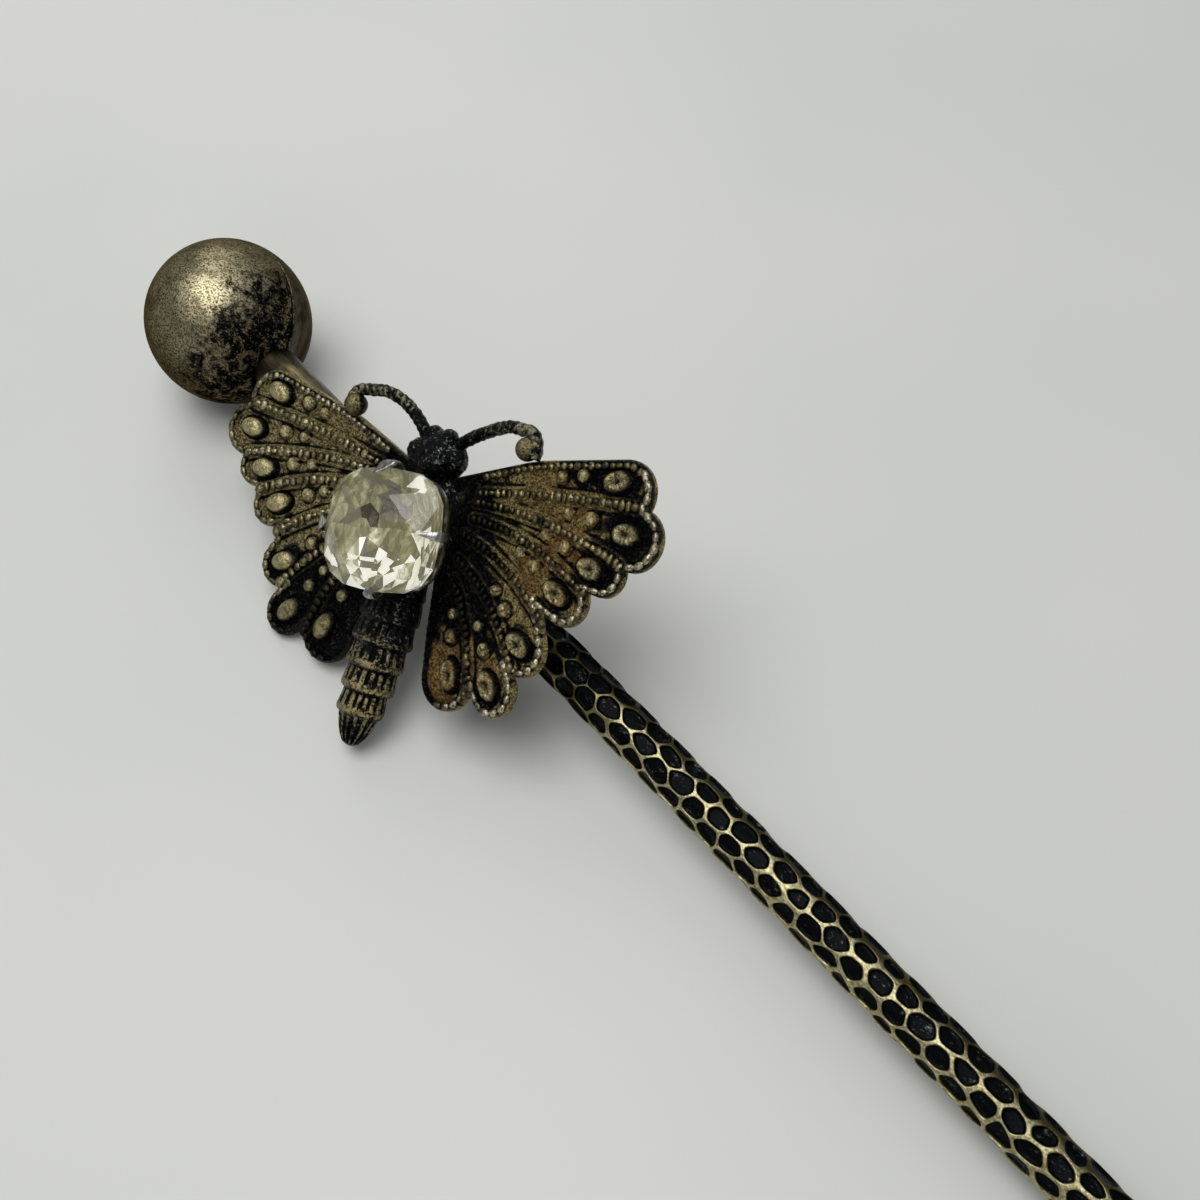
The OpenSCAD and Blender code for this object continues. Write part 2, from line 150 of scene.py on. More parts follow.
class Grower(Board):
    """A Geometry Nodes tree. Each input has a starting number, or the name of its type."""

    def __init__(self, name, inputs, output):
        super().__init__(bpy.data.node_groups.new(name, "GeometryNodeTree"))
        face = self.tree.interface
        for label, start in inputs.items():
            kind = start if isinstance(start, str) else type(start).__name__.capitalize()
            socket = face.new_socket(label, in_out="INPUT", socket_type="NodeSocket" + kind)
            if kind != start:
                socket.default_value = start
        face.new_socket(output, in_out="OUTPUT", socket_type="NodeSocketGeometry")
        source = self.tree.nodes.new("NodeGroupInput")
        self.given = {socket.name: Value(self, socket) for socket in source.outputs}

    def geometry(self, kind, settings=None, **inputs):
        return self.add("GeometryNode" + kind, settings, spaced(inputs))

    def uneven(self, seed):
        """A random number from -1 to 1 for each face or point."""
        return self.add("FunctionNodeRandomValue", {"data_type": "FLOAT"}, {2: -1.0, 3: 1.0, "Seed": seed}, 1)

    def done(self, shape, material):
        shape = self.geometry("RealizeInstances", Geometry=shape)
        shape = self.geometry("SetMaterial", Geometry=shape, Material=material)
        self.add("NodeGroupOutput", None, {0: shape})
        return self.tree


class Finish(Board):
    """A material whose patterns are measured in millimetres in the frame of its piece."""

    def __init__(self, name, place=Matrix()):
        self.material = bpy.data.materials.new(name)
        self.material.use_nodes = True
        super().__init__(self.material.node_tree)
        self.tree.nodes.clear()
        # A mapping can't mirror, so a mirrored frame is worked out unmirrored and its x turned over after
        side = -1 if place.determinant() < 0 else 1
        back = place.inverted()
        turn = Matrix.Scale(side, 3, (1, 0, 0)) @ back.to_3x3()
        x, y, z = back.translation
        coordinates = self.add("ShaderNodeTexCoord", None, None, "Object")
        self.at = self.add("ShaderNodeMapping", None, {
            "Vector": coordinates, "Scale": [1 / MM] * 3, "Rotation": turn.to_euler(),
            "Location": (side * x, y, z)})
        if side < 0:
            self.at = self.stretched(-1, 1, 1)

    def noise(self, size, detail=2.0, roughness=0.5, at=None, warp=0.0):
        return self.add("ShaderNodeTexNoise", None, {
            "Vector": at or self.at, "Scale": 1 / size, "Detail": detail, "Roughness": roughness,
            "Distortion": warp})

    def stretched(self, x, y, z):
        return self.vectors("MULTIPLY", self.at, (x, y, z))

    def toward(self, way):
        """How far out a place lies in a direction."""
        return self.vectors("DOT_PRODUCT", self.at, way, "Value")

    def between(self, value, low, high, to_low=0.0, to_high=1.0):
        """An eased step from one number to another as a value goes from low to high."""
        return self.add("ShaderNodeMapRange", {"interpolation_type": "SMOOTHSTEP"}, {
            "Value": value, "From Min": low, "From Max": high, "To Min": to_low, "To Max": to_high})

    def kept(self, name):
        """A mark that the mesh carries."""
        return self.add("ShaderNodeAttribute", {"attribute_name": name}, None, "Fac")

    def near(self, centre, radius, soft):
        away = self.vectors("DISTANCE", self.at, centre, "Value")
        return self.between(away, radius - soft, radius + soft, 1.0, 0.0)

    def tint(self, share, first, second):
        """Mixes two colours by a share from 0 to 1."""
        first, second = (c if isinstance(c, Value) else (*c, 1) for c in (first, second))
        return self.add("ShaderNodeMix", {"data_type": "RGBA"}, {0: share, 6: first, 7: second}, 2)

    def fade(self, value, low, high, first, second):
        """One colour that turns to another as a value goes from low to high."""
        return self.tint(self.between(value, low, high), first, second)

    def bump(self, height, distance, strength=1.0):
        inputs = {"Height": height, "Distance": distance * MM, "Strength": strength}
        return self.add("ShaderNodeBump", None, inputs)

    def done(self, colour, roughness, metallic=1.0, normal=None, **more):
        inputs = {"Base Color": colour, "Roughness": roughness, "Metallic": metallic, "Normal": normal}
        shader = self.add("ShaderNodeBsdfPrincipled", None, inputs | spaced(more))
        self.add("ShaderNodeOutputMaterial", None, {"Surface": shader})
        return self.material


# Mesh helpers


def shown(name, data):
    """A new object in the scene."""
    item = bpy.data.objects.new(name, data)
    bpy.context.scene.collection.objects.link(item)
    return item


def mark(mesh, name, values, domain="POINT"):
    mesh.attributes.new(name, "FLOAT", domain).data.foreach_set("value", np.asarray(values, np.float32))


def placed(name, mesh, sharp=35):
    """An object from a finished mesh, whose edges are sharp past an angle in degrees."""
    mesh.shade_smooth()
    mesh.set_sharp_from_angle(angle=math.radians(sharp))
    return shown(name, mesh)


def make(name, points, faces, place, material, sharp=35, marks=None):
    """A piece from points in millimetres in the frame of its place."""
    turn = np.array(place)
    points = np.asarray(points, float) @ turn[:3, :3].T + turn[:3, 3]
    mesh = bpy.data.meshes.new(name)
    mesh.from_pydata((points * MM).tolist(), [], flipped(faces) if place.determinant() < 0 else faces)
    for label, values in (marks or {}).items():
        mark(mesh, label, values)
    mesh.materials.append(material)
    return placed(name, mesh, sharp)


def grown(name, piece, place, sharp=60):
    """Turns a piece with a live modifier, drawn in millimetres, into a plain mesh in its place."""
    view = bpy.context.evaluated_depsgraph_get()
    mesh = bpy.data.meshes.new_from_object(piece.evaluated_get(view))
    old = piece.data
    bpy.data.objects.remove(piece)
    bpy.data.meshes.remove(old)
    mesh.transform(Matrix.Scale(MM, 4) @ place)
    if place.determinant() < 0:
        mesh.flip_normals()
    mesh.name = name
    return placed(name, mesh, sharp)


def joined(name, pieces):
    """One piece from several, with their materials kept."""
    target = pieces[0]
    with bpy.context.temp_override(active_object=target, selected_editable_objects=pieces):
        bpy.ops.object.join()
    target.name = target.data.name = name
    return target


def use_tree(piece, tree, **sizes):
    """Puts a tree on a piece as a modifier and sets its named inputs."""
    modifier = piece.modifiers.new(tree.name, "NODES")
    modifier.node_group = tree
    named = spaced(sizes)
    for item in tree.interface.items_tree:
        if item.in_out == "INPUT" and item.name in named:
            modifier[item.identifier] = named[item.name]


def flipped(faces):
    return [tuple(reversed(face)) for face in faces]


def rings(rows, closed=True):
    """Points and faces of a tube whose rows of points each go once round."""
    count, around = len(rows), len(rows[0])
    faces = []
    for low in range(0, (count - 1) * around, around):
        high = low + around
        faces += [(low + j, low + (j + 1) % around, high + (j + 1) % around, high + j) for j in range(around)]
    if closed:
        faces += [tuple(reversed(range(around))), tuple(range((count - 1) * around, count * around))]
    return np.concatenate([np.asarray(row, float) for row in rows]), faces


def tube(name, rows, place, material, sharp, marks=None, closed=True):
    """A piece whose skin runs through rows of points, from its top down."""
    points, faces = rings(rows, closed)
    return make(name, points, flipped(faces), place, material, sharp, marks)


def angles(count):
    """Directions evenly round a circle."""
    return np.linspace(0, 2 * math.pi, count + 1)[:-1]


def circle(r, z, count):
    a = angles(count)
    return np.c_[r * np.cos(a), r * np.sin(a), np.full(count, z)]


def rounded_square(a, power):
    """Points at some angles. A power of 1 gives a circle, and a smaller one squarer corners."""
    c, s = np.cos(a), np.sin(a)
    return np.c_[np.sign(c) * np.abs(c) ** power, np.sign(s) * np.abs(s) ** power]


def bent(bend, shares):
    """Points along a bend through three points."""
    a, b, c = (np.array(p, float) for p in bend)
    return np.array([(1 - t) ** 2 * a + 2 * t * (1 - t) * b + t * t * c for t in shares])


def eased(line, times):
    """A line whose corners are smoothed some times over."""
    for _ in range(times):
        line[1:-1] = (line[:-2] + 2 * line[1:-1] + line[2:]) / 4
    return line


def unit(vectors):
    return vectors / np.linalg.norm(vectors, axis=-1, keepdims=True)


def step(value, low, high):
    """0 up to low, 1 from high, and eased between them."""
    share = np.clip((value - low) / (high - low), 0, 1)
    return share * share * (3 - 2 * share)


def hump(value, at, width):
    """1 where a value is at a number, falling to 0 on both sides."""
    return np.exp(-((value - at) / width) ** 2)


def mottle(at, size, seed):
    """A smooth random height from -1 to 1 over points, in patches of a size."""
    table = np.random.default_rng(seed).uniform(-1, 1, (256, 256))
    cell = np.floor(at / size).astype(int)
    u, v = step(at / size - cell, 0, 1).T
    i, j = cell.T % 255
    near = table[i, j] * (1 - u) + table[i + 1, j] * u
    far = table[i, j + 1] * (1 - u) + table[i + 1, j + 1] * u
    return near * (1 - v) + far * v


# Finishes

# Each wing's worn khaki and the low places of its polished parts
WING_TONES = {"right": ((0.52, 0.42, 0.175), (0.07, 0.055, 0.023)),
              "left": ((0.5, 0.425, 0.21), (0.2, 0.17, 0.08))}
# The low tone of each course of beads, and its high tone and dullness on each wing
BEAD_LOW = {"rim": (0.1, 0.085, 0.045), "rib": (0.06, 0.048, 0.018), "edge": (0.04, 0.032, 0.012)}
BEAD_HIGH = {"right": {"rim": ((0.62, 0.57, 0.4), -0.04), "rib": ((0.48, 0.41, 0.21), 0.06),
                       "edge": ((0.34, 0.3, 0.15), 0.04)},
             "left": {"rim": ((0.36, 0.32, 0.18), 0.03), "rib": ((0.5, 0.44, 0.25), 0),
                      "edge": ((0.6, 0.55, 0.36), 0.04)}}
# Where each wing's beads are sooty: middle and radius at the root, and how much at the tail
BEAD_SOOT = {"right": ((5, -0.8, 0), 5, 0.2), "left": ((3.5, 0, 0), 4, 0.9)}
# The foil's colour with its painted reflections, for tones from 0 to 1
FOIL = [(0.0, (0.07, 0.04, 0.015)), (0.25, (0.26, 0.235, 0.2)), (0.42, (0.3, 0.275, 0.13)),
        (0.6, (0.58, 0.55, 0.33)), (0.8, (0.96, 0.94, 0.72)), (1.0, (1.0, 1.0, 0.98))]


def ball_metal():
    """Speckled antique brass in front of the seam, with painted shade on the sides away from the highlight,
    smoother grey behind it, blackened toward the shaft.
    """
    f = Finish("ball_metal", PIN)
    along, up = f.part(f.at, 0) / BALL_R, f.part(f.at, 2) / BALL_R
    speck, fleck = f.noise(0.17, 3, 0.7), f.noise(0.55, 4, 0.7)
    cloud, blotch = f.noise(2.4, 3, 0.6), f.noise(1.9, 5, 0.68, warp=0.8)
    brass = f.fade(speck, 0.37, 0.58, (0.045, 0.036, 0.017), (0.5, 0.44, 0.28))
    brass = f.tint(f.between(cloud + (fleck - 0.5) * 0.6, 0.4, 0.68, 0, 0.65), brass, (0.085, 0.066, 0.03))
    # Painted light: the side toward the highlight stays bright and the sides away from it are darkened as
    # painted shade
    toward_highlight = f.toward((0.28, 0.48, 0.83)) / BALL_R
    darkening = f.between(toward_highlight + (fleck - 0.5) * 0.6, 0.3, 0.95, 1, 0)
    brass = f.tint(darkening * 0.85, brass, f.fade(speck, 0.42, 0.6, (0.008, 0.0065, 0.003), (0.1, 0.082, 0.045)))
    soot = along + (blotch - 0.5) * 1.7 + (fleck - 0.5) * 0.9 + (speck - 0.5) * 0.5
    crust = f.between(f.noise(1.0, 5, 0.7, warp=0.5), 0.5, 0.58) * f.between(along, 0.5, 0.75)
    dark = f.fade(speck + (fleck - 0.5) * 0.8, 0.6, 0.72, (0.004, 0.004, 0.005), (0.2, 0.17, 0.11))
    tan = f.fade(speck, 0.4, 0.6, (0.05, 0.04, 0.025), (0.26, 0.21, 0.12))
    front = f.fade(soot, 0.42, 0.64, brass, f.tint(crust, dark, tan))
    brushed = f.noise(0.9, 4, 0.6, f.stretched(1, 0.3, 1))
    back = f.fade(brushed, 0.3, 0.7, (0.035, 0.032, 0.028), (0.11, 0.1, 0.085))
    behind = f.between(up, -0.045, -0.02, 1, 0)
    seam = f.between(f.calc("ABSOLUTE", up), 0.012, 0.03, 1, 0)
    colour = f.tint(seam, f.tint(behind, front, back), (0.004, 0.004, 0.004))
    rough = f.between(speck, 0.3, 0.7, 0.4, 0.29) + darkening * (1 - behind) * 0.25
    pits = f.bump(speck * 0.6 + fleck * 0.4, 0.07, 0.8)
    return f.done(colour, rough, 1.0, pits, Specular_Tint=(0.4, 0.37, 0.3, 1))


def shaft_metal():
    """Smooth dark gold-brown with fine lengthwise wear, darker beside the ball."""
    f = Finish("shaft_metal", PIN)
    wear = f.noise(0.5, 4, 0.65, f.stretched(0.15, 1, 1))
    cloud = f.noise(2.2, 4, 0.6)
    colour = f.fade(wear, 0.35, 0.68, (0.035, 0.027, 0.012), (0.27, 0.22, 0.105))
    by_ball = f.between(f.part(f.at, 0), 8.5, 12.5, 0.14, 0)
    colour = f.tint(f.between(cloud + by_ball, 0.42, 0.66, 0, 0.85), colour, (0.018, 0.016, 0.012))
    return f.done(colour, f.between(wear, 0.3, 0.7, 0.42, 0.3), 1.0, f.bump(wear, 0.03, 0.6))


def comb_metal():
    """Pale gold ridges worn bright, with olive flanks, round blackened cells. The ridges carry painted shade
    on the side away from the light, and painted shadow with dirt beside the butterfly.
    """
    f = Finish("comb_metal", PIN)
    streak, patch = f.noise(0.22, 4, 0.75, f.stretched(0.6, 1, 1)), f.noise(1.5, 3, 0.6)
    # Painted shade darkens the ridges on the side away from the light
    side = f.toward((0, 0.95, -0.31)) / CELL_R
    edge = f.kept("sunk") + (streak - 0.5) * 0.25 - (patch - 0.5) * 0.5
    edge += f.between(side + (patch - 0.5) * 0.8, 0.35, 0.85, 0, 0.34)
    # Painted shadow and dirt darken the ridges where the shaft comes out from under the butterfly
    edge += f.between(f.part(f.at, 0), 50, 58, 0.2, 0)
    gold = f.fade(streak, 0.35, 0.65, (0.19, 0.165, 0.07), (0.56, 0.51, 0.31))
    gold = f.fade(edge, 0.02, 0.3, gold, (0.085, 0.068, 0.018))
    floor = f.fade(streak + (patch - 0.5) * 0.5, 0.6, 0.75, (0.005, 0.0055, 0.006), (0.12, 0.13, 0.13))
    black = f.between(edge, 0.25, 0.5)
    colour = f.tint(black, gold, floor)
    return f.done(colour, f.between(black, 0, 1, 0.34, 0.42), 1.0, f.bump(streak, 0.06, 0.8))


def wing_metal(side):
    """Cast and stippled ground. The wing's own marks say where it is blackened, rusty or polished."""
    f = Finish(side + "_wing_metal", WING[side])
    khaki, polished_low = WING_TONES[side]
    grain, fleck, patch = f.noise(0.17, 2, 0.7), f.noise(0.5, 4, 0.75), f.noise(1.3, 4, 0.65)
    soot = f.kept("soot") + (patch - 0.5) * 1.3 + (fleck - 0.5) * 0.7 + (grain - 0.5) * 0.5
    rust = f.kept("rust") * f.between(f.noise(0.9, 4, 0.65), 0.35, 0.58)
    shine = f.kept("shine")
    worn = 0.5 + (grain - 0.5) * 0.9 + (fleck - 0.5) * 0.5
    ground = f.fade(worn, 0.36, 0.68, (0.05, 0.036, 0.014), khaki)
    ground = f.tint(rust * 0.9, ground, f.fade(worn, 0.36, 0.66, (0.055, 0.025, 0.008), (0.34, 0.185, 0.06)))
    black = f.fade(worn, 0.55, 0.75, (0.0035, 0.0038, 0.005), (0.11, 0.105, 0.085))
    ground = f.fade(soot, 0.42, 0.66, ground, black)
    bright = f.fade(fleck + (grain - 0.5) * 0.5, 0.36, 0.58, polished_low, (0.52, 0.455, 0.235))
    bright = f.tint(rust * 0.5, bright, (0.25, 0.11, 0.035))
    rough = f.between(shine, 0, 1, 0.38, 0.3) + f.between(grain, 0.3, 0.7, 0.08, -0.08)
    stipple = f.bump((grain + fleck * 0.8) * (1 - shine * 0.65), 0.3, 1.0)
    return f.done(f.tint(shine, ground, bright), rough, 1.0, stipple)


def bead_metal(side, course):
    """Worn tops of the beads, darker toward the wing's root and in patches."""
    f = Finish(f"{side}_{course}_bead_metal", WING[side])
    low, (high, darkening) = BEAD_LOW[course], BEAD_HIGH[side][course]
    root_at, root_r, tail_soot = BEAD_SOOT[side]
    patch, fine = f.noise(1.4, 4, 0.65), f.noise(0.22, 3, 0.7)
    root = f.near(root_at, root_r, 2.5)
    tail = f.near((8.5, -11, 0), 4.5, 2) * tail_soot
    soot = patch + root * 0.42 + tail * 0.4 + (fine - 0.5) * 0.9 + darkening
    colour = f.fade(soot, 0.45, 0.75, f.fade(fine, 0.38, 0.62, low, high), (0.016, 0.014, 0.01))
    return f.done(colour, f.between(fine, 0.3, 0.7, 0.42, 0.27), 1.0, f.bump(fine, 0.08, 0.9))


def body_metal(name, soot_level, khaki, shine=0.3, silver=0.16):
    """Blackened casting with silvery specks and worn high places. On the feeler balls the mark 'high' is
    painted light, bright on top and dark on the sides.
    """
    f = Finish(name, FLY)
    fine, patch = f.noise(0.24, 4, 0.75), f.noise(1.1, 4, 0.65)
    worn = f.kept("high") + (fine - 0.5) * 1.3 + (patch - 0.5) * 1.2 - soot_level
    khaki = f.fade(fine, 0.4, 0.65, tuple(0.35 * c for c in khaki), khaki)
    colour = f.fade(worn, 0.32, 0.62, (0.006, 0.0065, 0.007), khaki)
    specks = f.between(f.noise(0.24, 3, 0.6) + (patch - 0.5) * 0.5, 0.56, 0.72, 0, 0.8)
    colour = f.tint(specks, colour, (silver, silver, 0.88 * silver))
    return f.done(colour, f.between(fine, 0.3, 0.7, shine + 0.12, shine - 0.04), 1.0, f.bump(fine, 0.12, 1.0))


def silver_metal():
    f = Finish("silver_metal", GEM)
    scratch = f.noise(0.3, 4, 0.6, f.stretched(1, 0.25, 1))
    colour = f.fade(scratch, 0.35, 0.7, (0.16, 0.15, 0.13), (0.56, 0.55, 0.52))
    return f.done(colour, f.between(scratch, 0.3, 0.7, 0.34, 0.22), 1.0, f.bump(scratch, 0.03, 0.5))


def stone_glass():
    f = Finish("stone_glass", GEM)
    haze = f.noise(2.2, 3, 0.6)
    colour = f.fade(haze, 0.35, 0.7, (0.97, 0.96, 0.9), (1.0, 1.0, 0.97))
    rough = f.between(f.noise(0.8, 4, 0.6), 0.4, 0.8, 0.01, 0.06)
    return f.done(colour, rough, 0.0, f.bump(haze, 0.01, 0.3), Transmission_Weight=1.0, IOR=1.52)


def foil_metal():
    """The stone's backing, whose facets each show a tone of painted reflection, with a painted glow on the
    brightest.
    """
    f = Finish("foil_metal", GEM)
    streak = (f.noise(1.3, 5, 0.65, f.stretched(1, 0.45, 1), warp=1.2) - 0.5) * 1.3
    tone = f.kept("tone")
    colour = f.add("ShaderNodeValToRGB", {"stops": FOIL}, {"Fac": tone + streak})
    # Painted light: the brightest shards glow
    painted_glow = f.fade(tone + streak, 0.6, 1.0, (0, 0, 0), (0.42, 0.41, 0.36))
    rough = f.between(tone, 0.5, 0.95, 0.4, 0.2)
    return f.done(colour, rough, 0.08, Emission_Color=painted_glow, Emission_Strength=1.0)


def floor_paint():
    f = Finish("floor_paint")
    colour = f.fade(f.noise(60, 2), 0.3, 0.7, (0.6, 0.605, 0.565), (0.64, 0.64, 0.6))
    return f.done(colour, 0.55, 0.0, f.bump(f.noise(0.6, 2), 0.02, 0.15))


# Ball


def ball():
    """Two half shells with a fine groove where they meet, in the plane of the shaft's axis."""
    groove = [math.degrees(math.asin(z / BALL_R)) for z in (0, 0.11, 0.145, 0.17, 0.2, 0.26, 0.36)]
    levels = sorted({sign * level for level in [*groove, *np.linspace(4, 89, 46)] for sign in (-1, 1)})
    rows = []
    for level in np.radians(levels):
        up = abs(math.sin(level)) * BALL_R
        r = BALL_R - 0.15 * (1 - step(up, 0.125, 0.185))
        rows.append(circle(r * math.cos(level), r * math.sin(level), 160))
    points, faces = rings(rows)
    return make("ball_shells", points, faces, PIN, ball_metal(), 80)


# Shaft


def plain_shaft():
    """The smooth stretches at both ends, with eased shoulders and a blunt point."""
    def lathe(profile):
        return rings([circle(r, x, 48)[:, [2, 0, 1]] for x, r in profile])

    neck = [(6.6, 2.0), (7.17, 2.0), (7.2, NECK_R)] + [(x, NECK_R) for x in np.linspace(8, CELLS_FROM, 24)]
    neck += [(CELLS_FROM + 0.25, 2.09), (CELLS_FROM + 0.32, 1.95), (CELLS_FROM + 0.33, 1.6)]
    end = [(CELLS_TO - 0.6, 1.6), (CELLS_TO - 0.25, 2.0), (CELLS_TO - 0.1, 2.02), (CELLS_TO - 0.02, 1.97)]
    end += [(x, END_R) for x in (CELLS_TO, *np.linspace(CELLS_TO + 0.4, POINT_FROM - 0.6, 12))]
    taper = (END_R - TIP_R) / (REACH - POINT_FROM)
    end += [(POINT_FROM, END_R - 0.01)]
    end += [(x, END_R - taper * (x - POINT_FROM)) for x in np.linspace(POINT_FROM + 0.6, REACH - 0.5, 10)]
    end += [(REACH - 0.2, 0.57), (REACH - 0.06, 0.47), (REACH, 0.3)]
    points, faces = lathe(neck)
    end_points, end_faces = lathe(end)
    faces += [tuple(i + len(points) for i in face) for face in end_faces]
    return make("shaft_ends", np.concatenate([points, end_points]), faces, PIN, shaft_metal(), 50)


def comb_tree(material):
    """Sinks a cell into each face of a flat sheet, wraps the sheet round the shaft and rounds it."""
    b = Grower("sunk_cells", {"Sheet": "Geometry", "Ridge share": 0.08, "Widening": 0.1, "Depth": CELL_DEPTH,
                              "Shaft radius": CELL_R, "Unevenness": 0.16, "Seed": 4}, "Shaft")
    sheet, last = b.given["Sheet"], None
    place = b.geometry("InputPosition")
    x, y, z = (b.part(place, axis) for axis in range(3))
    ridge = b.given["Ridge share"] + b.given["Widening"] * (x - CELLS_FROM) / (CELLS_TO - CELLS_FROM)
    # Each round insets the last face: first in the plane, then down the wall, then across the floor
    for share, drop, wobble in ((1.0, 0.0, 0.5), (1.0, 0.75, 0.1), (2.2, 0.25, 0.1)):
        sheet = b.geometry("ExtrudeMesh", {"mode": "FACES"}, Mesh=sheet, Selection=last, Individual=True,
                           Offset_Scale=b.given["Depth"] * -drop)
        last = Value(b, sheet.socket.node.outputs["Top"])
        size = 1 - ridge * share - b.uneven(b.given["Seed"]) * b.given["Unevenness"] * wobble
        sheet = b.geometry("ScaleElements", Geometry=sheet, Selection=last, Scale=size)
    sheet = b.geometry("SubdivideMesh", Mesh=sheet, Level=1)
    sheet = b.geometry("StoreNamedAttribute", {"data_type": "FLOAT", "domain": "POINT"}, Geometry=sheet,
                       Name="sunk", Value=z / b.given["Depth"] * -1)
    radius, angle = b.given["Shaft radius"] + z, y / CELL_R
    wrapped = b.vector(x, radius * b.calc("SINE", angle), radius * b.calc("COSINE", angle))
    sheet = b.geometry("SetPosition", Geometry=sheet, Position=wrapped)
    sheet = b.geometry("MergeByDistance", Geometry=sheet, Distance=0.01)
    return b.done(b.geometry("SubdivisionSurface", Mesh=sheet, Level=1), material)


def honeycomb():
    """Rings of six-sided cells, each corner a little off its place."""
    turn = 2 * math.pi * CELL_R
    rng = np.random.default_rng(11)
    shift = rng.uniform(-0.23, 0.23, (2 * CELL_RINGS + 2, CELLS_ROUND, 2))
    shift[[0, 1, -2, -1]] = 0
    points, index = [], {}

    def corner(c, m):
        """Corner m in column c. Corners past the seam repeat the shift of the first ones."""
        if (c, m) not in index:
            index[c, m] = len(points)
            x = FIRST_RING + CELL_PITCH * (c // 2 - (2 if c % 2 == 0 else 1) / 3)
            y = (m + ((c + 1) // 2 % 2) / 2) * turn / CELLS_ROUND
            dx, dy = shift[c, m % CELLS_ROUND]
            points.append((x + dx, y + dy, 0))
        return index[c, m]

    faces = []
    for i in range(CELL_RINGS):
        for j in range(CELLS_ROUND):
            up = j + i % 2
            faces.append((corner(2 * i, j), corner(2 * i + 1, up - 1), corner(2 * i + 2, up - 1),
                          corner(2 * i + 3, j), corner(2 * i + 2, up), corner(2 * i + 1, up)))
    mesh = bpy.data.meshes.new("sheet")
    mesh.from_pydata(points, [], faces)
    piece = shown("sheet", mesh)
    use_tree(piece, comb_tree(comb_metal()), Ridge_share=0.06, Widening=0.11, Unevenness=0.17)
    return grown("shaft_cells", piece, PIN)


# Wings

# Wing lobes from the top of the forewing to the tail of the hindwing: x, y, radius
LOBES = [(18.5, 7.9, 2.55), (20.4, 4.9, 2.35), (18.6, 2, 1.8), (15.9, -0.8, 1.95), (13.2, -5.4, 2.05),
         (11.4, -9.1, 2.1), (6.6, -9.5, 2.65)]
FORE_LOBES = 4
FORE_ROOT, HIND_ROOT = (3.5, 3.7, 2.4), (4.3, -1.6, 1.8)
# Circles that fill the outline beside some lobes, by the lobe's number: x, y, radius
FILLS = {0: [(11.5, 3.6, 5.3)], FORE_LOBES: [FORE_ROOT, (12.6, -2.2, 1)]}
# The boss on each lobe, its outer dot and its inner dot: x, y
BOSSES = [(17.8, 8.6), (19.8, 5.1), (17.5, 2), (15, -0.5), (12.8, -5.1), (11, -8.9), (7, -9.2)]
OUTER_DOTS = [(14.6, 8.4), (16.3, 5.5), (14.6, 3), (12.2, 0.9), (10.5, -3), (9.6, -6.4), (6, -6.3)]
INNER_DOTS = [(12.6, 7.9), (14.1, 5.5), (12.6, 3.4), (10.6, 1.6), (9.2, -1.8), (8.5, -4.8), (5.6, -4.6)]
# Heights of bosses and dots, half sizes of a boss and radii of the outer and the inner dots
BOSS_H, DOT_H = 0.8, 0.45
BOSS_HALF, DOT_R = (1.35, 0.88), (0.6, 0.5)
# Ribs as bends from the root to the notch between two lobes
RIBS = [((5, 5), (12, 6.6), (20.3, 7.2)), ((5, 4.3), (12.4, 4.9), (19.9, 2.9)),
        ((5, 3), (12, 3.1), (17.6, 0)), ((4.5, 1.6), (9.8, 0.8), (14.6, -3.1)),
        ((4.6, -0.4), (8.8, -1.8), (12.8, -7.1)), ((4.6, -2), (7.9, -4.6), (9, -10.4))]
PLATE = 0.6
# The rim's section: distance in from the edge and height
RIM = [(0, -0.16), (0.05, 0.02), (0.14, 0.15), (0.24, 0.1), (0.33, -0.02), (0.72, 0), (0.9, -0.05),
       (1.2, -0.06)]
# Rusty places on each wing: x, y, radius, strength
RUST = {"right": [(11.5, 7, 2.6, 0.7), (14.5, 5.2, 2.4, 0.75), (14.6, 2.2, 2.6, 1), (12.5, 0.2, 2.4, 0.9),
                  (16.5, -0.4, 1.6, 0.7), (6.6, -9, 4, 1), (5.4, -5.4, 2.2, 0.9), (10, -8, 1.8, 0.6)],
        "left": [(11, 7, 2.4, 0.35), (16, -0.5, 1.6, 0.2), (6, -5, 2, 0.2)]}
# Courses of beads: pitch, length, width, height, unevenness, seed
BEADS = {"rim": (0.86, 0.98, 0.6, 0.44, 0.2, 3), "edge": (0.62, 0.72, 0.62, 0.42, 0.25, 5),
         "right_rib": (0.58, 0.68, 0.78, 0.5, 0.36, 9), "left_rib": (0.7, 0.84, 0.84, 0.5, 0.36, 9)}


def root_of(i):
    return FORE_ROOT if i < FORE_LOBES else HIND_ROOT


def away(at, x, y):
    """Distance of each point from a place."""
    return np.hypot(at[:, 0] - x, at[:, 1] - y)


def hull_depth(at, circles):
    """Distance from each point in to the edge of the outline drawn round some circles."""
    depth = np.full(len(at), np.inf)
    for turn in np.radians(np.arange(0, 360, 3)):
        way = np.array((math.cos(turn), math.sin(turn)))
        edge = max(way[0] * x + way[1] * y + r for x, y, r in circles)
        depth = np.minimum(depth, edge - at @ way)
    return depth


def wing_depth(at):
    """Distance from each point in to the wing's outline, less than 0 outside it."""
    depth = np.full(len(at), -np.inf)
    for i, lobe in enumerate(LOBES):
        depth = np.maximum(depth, hull_depth(at, [lobe, root_of(i), *FILLS.get(i, [])]))
    return depth


def line_distance(at, line):
    """Distance of each point from a line through some points."""
    best = np.full(len(at), np.inf)
    for a, b in zip(line[:-1], line[1:]):
        along = b - a
        share = np.clip(((at - a) @ along) / (along @ along), 0, 1)
        best = np.minimum(best, np.linalg.norm(at - a - share[:, None] * along, axis=1))
    return best


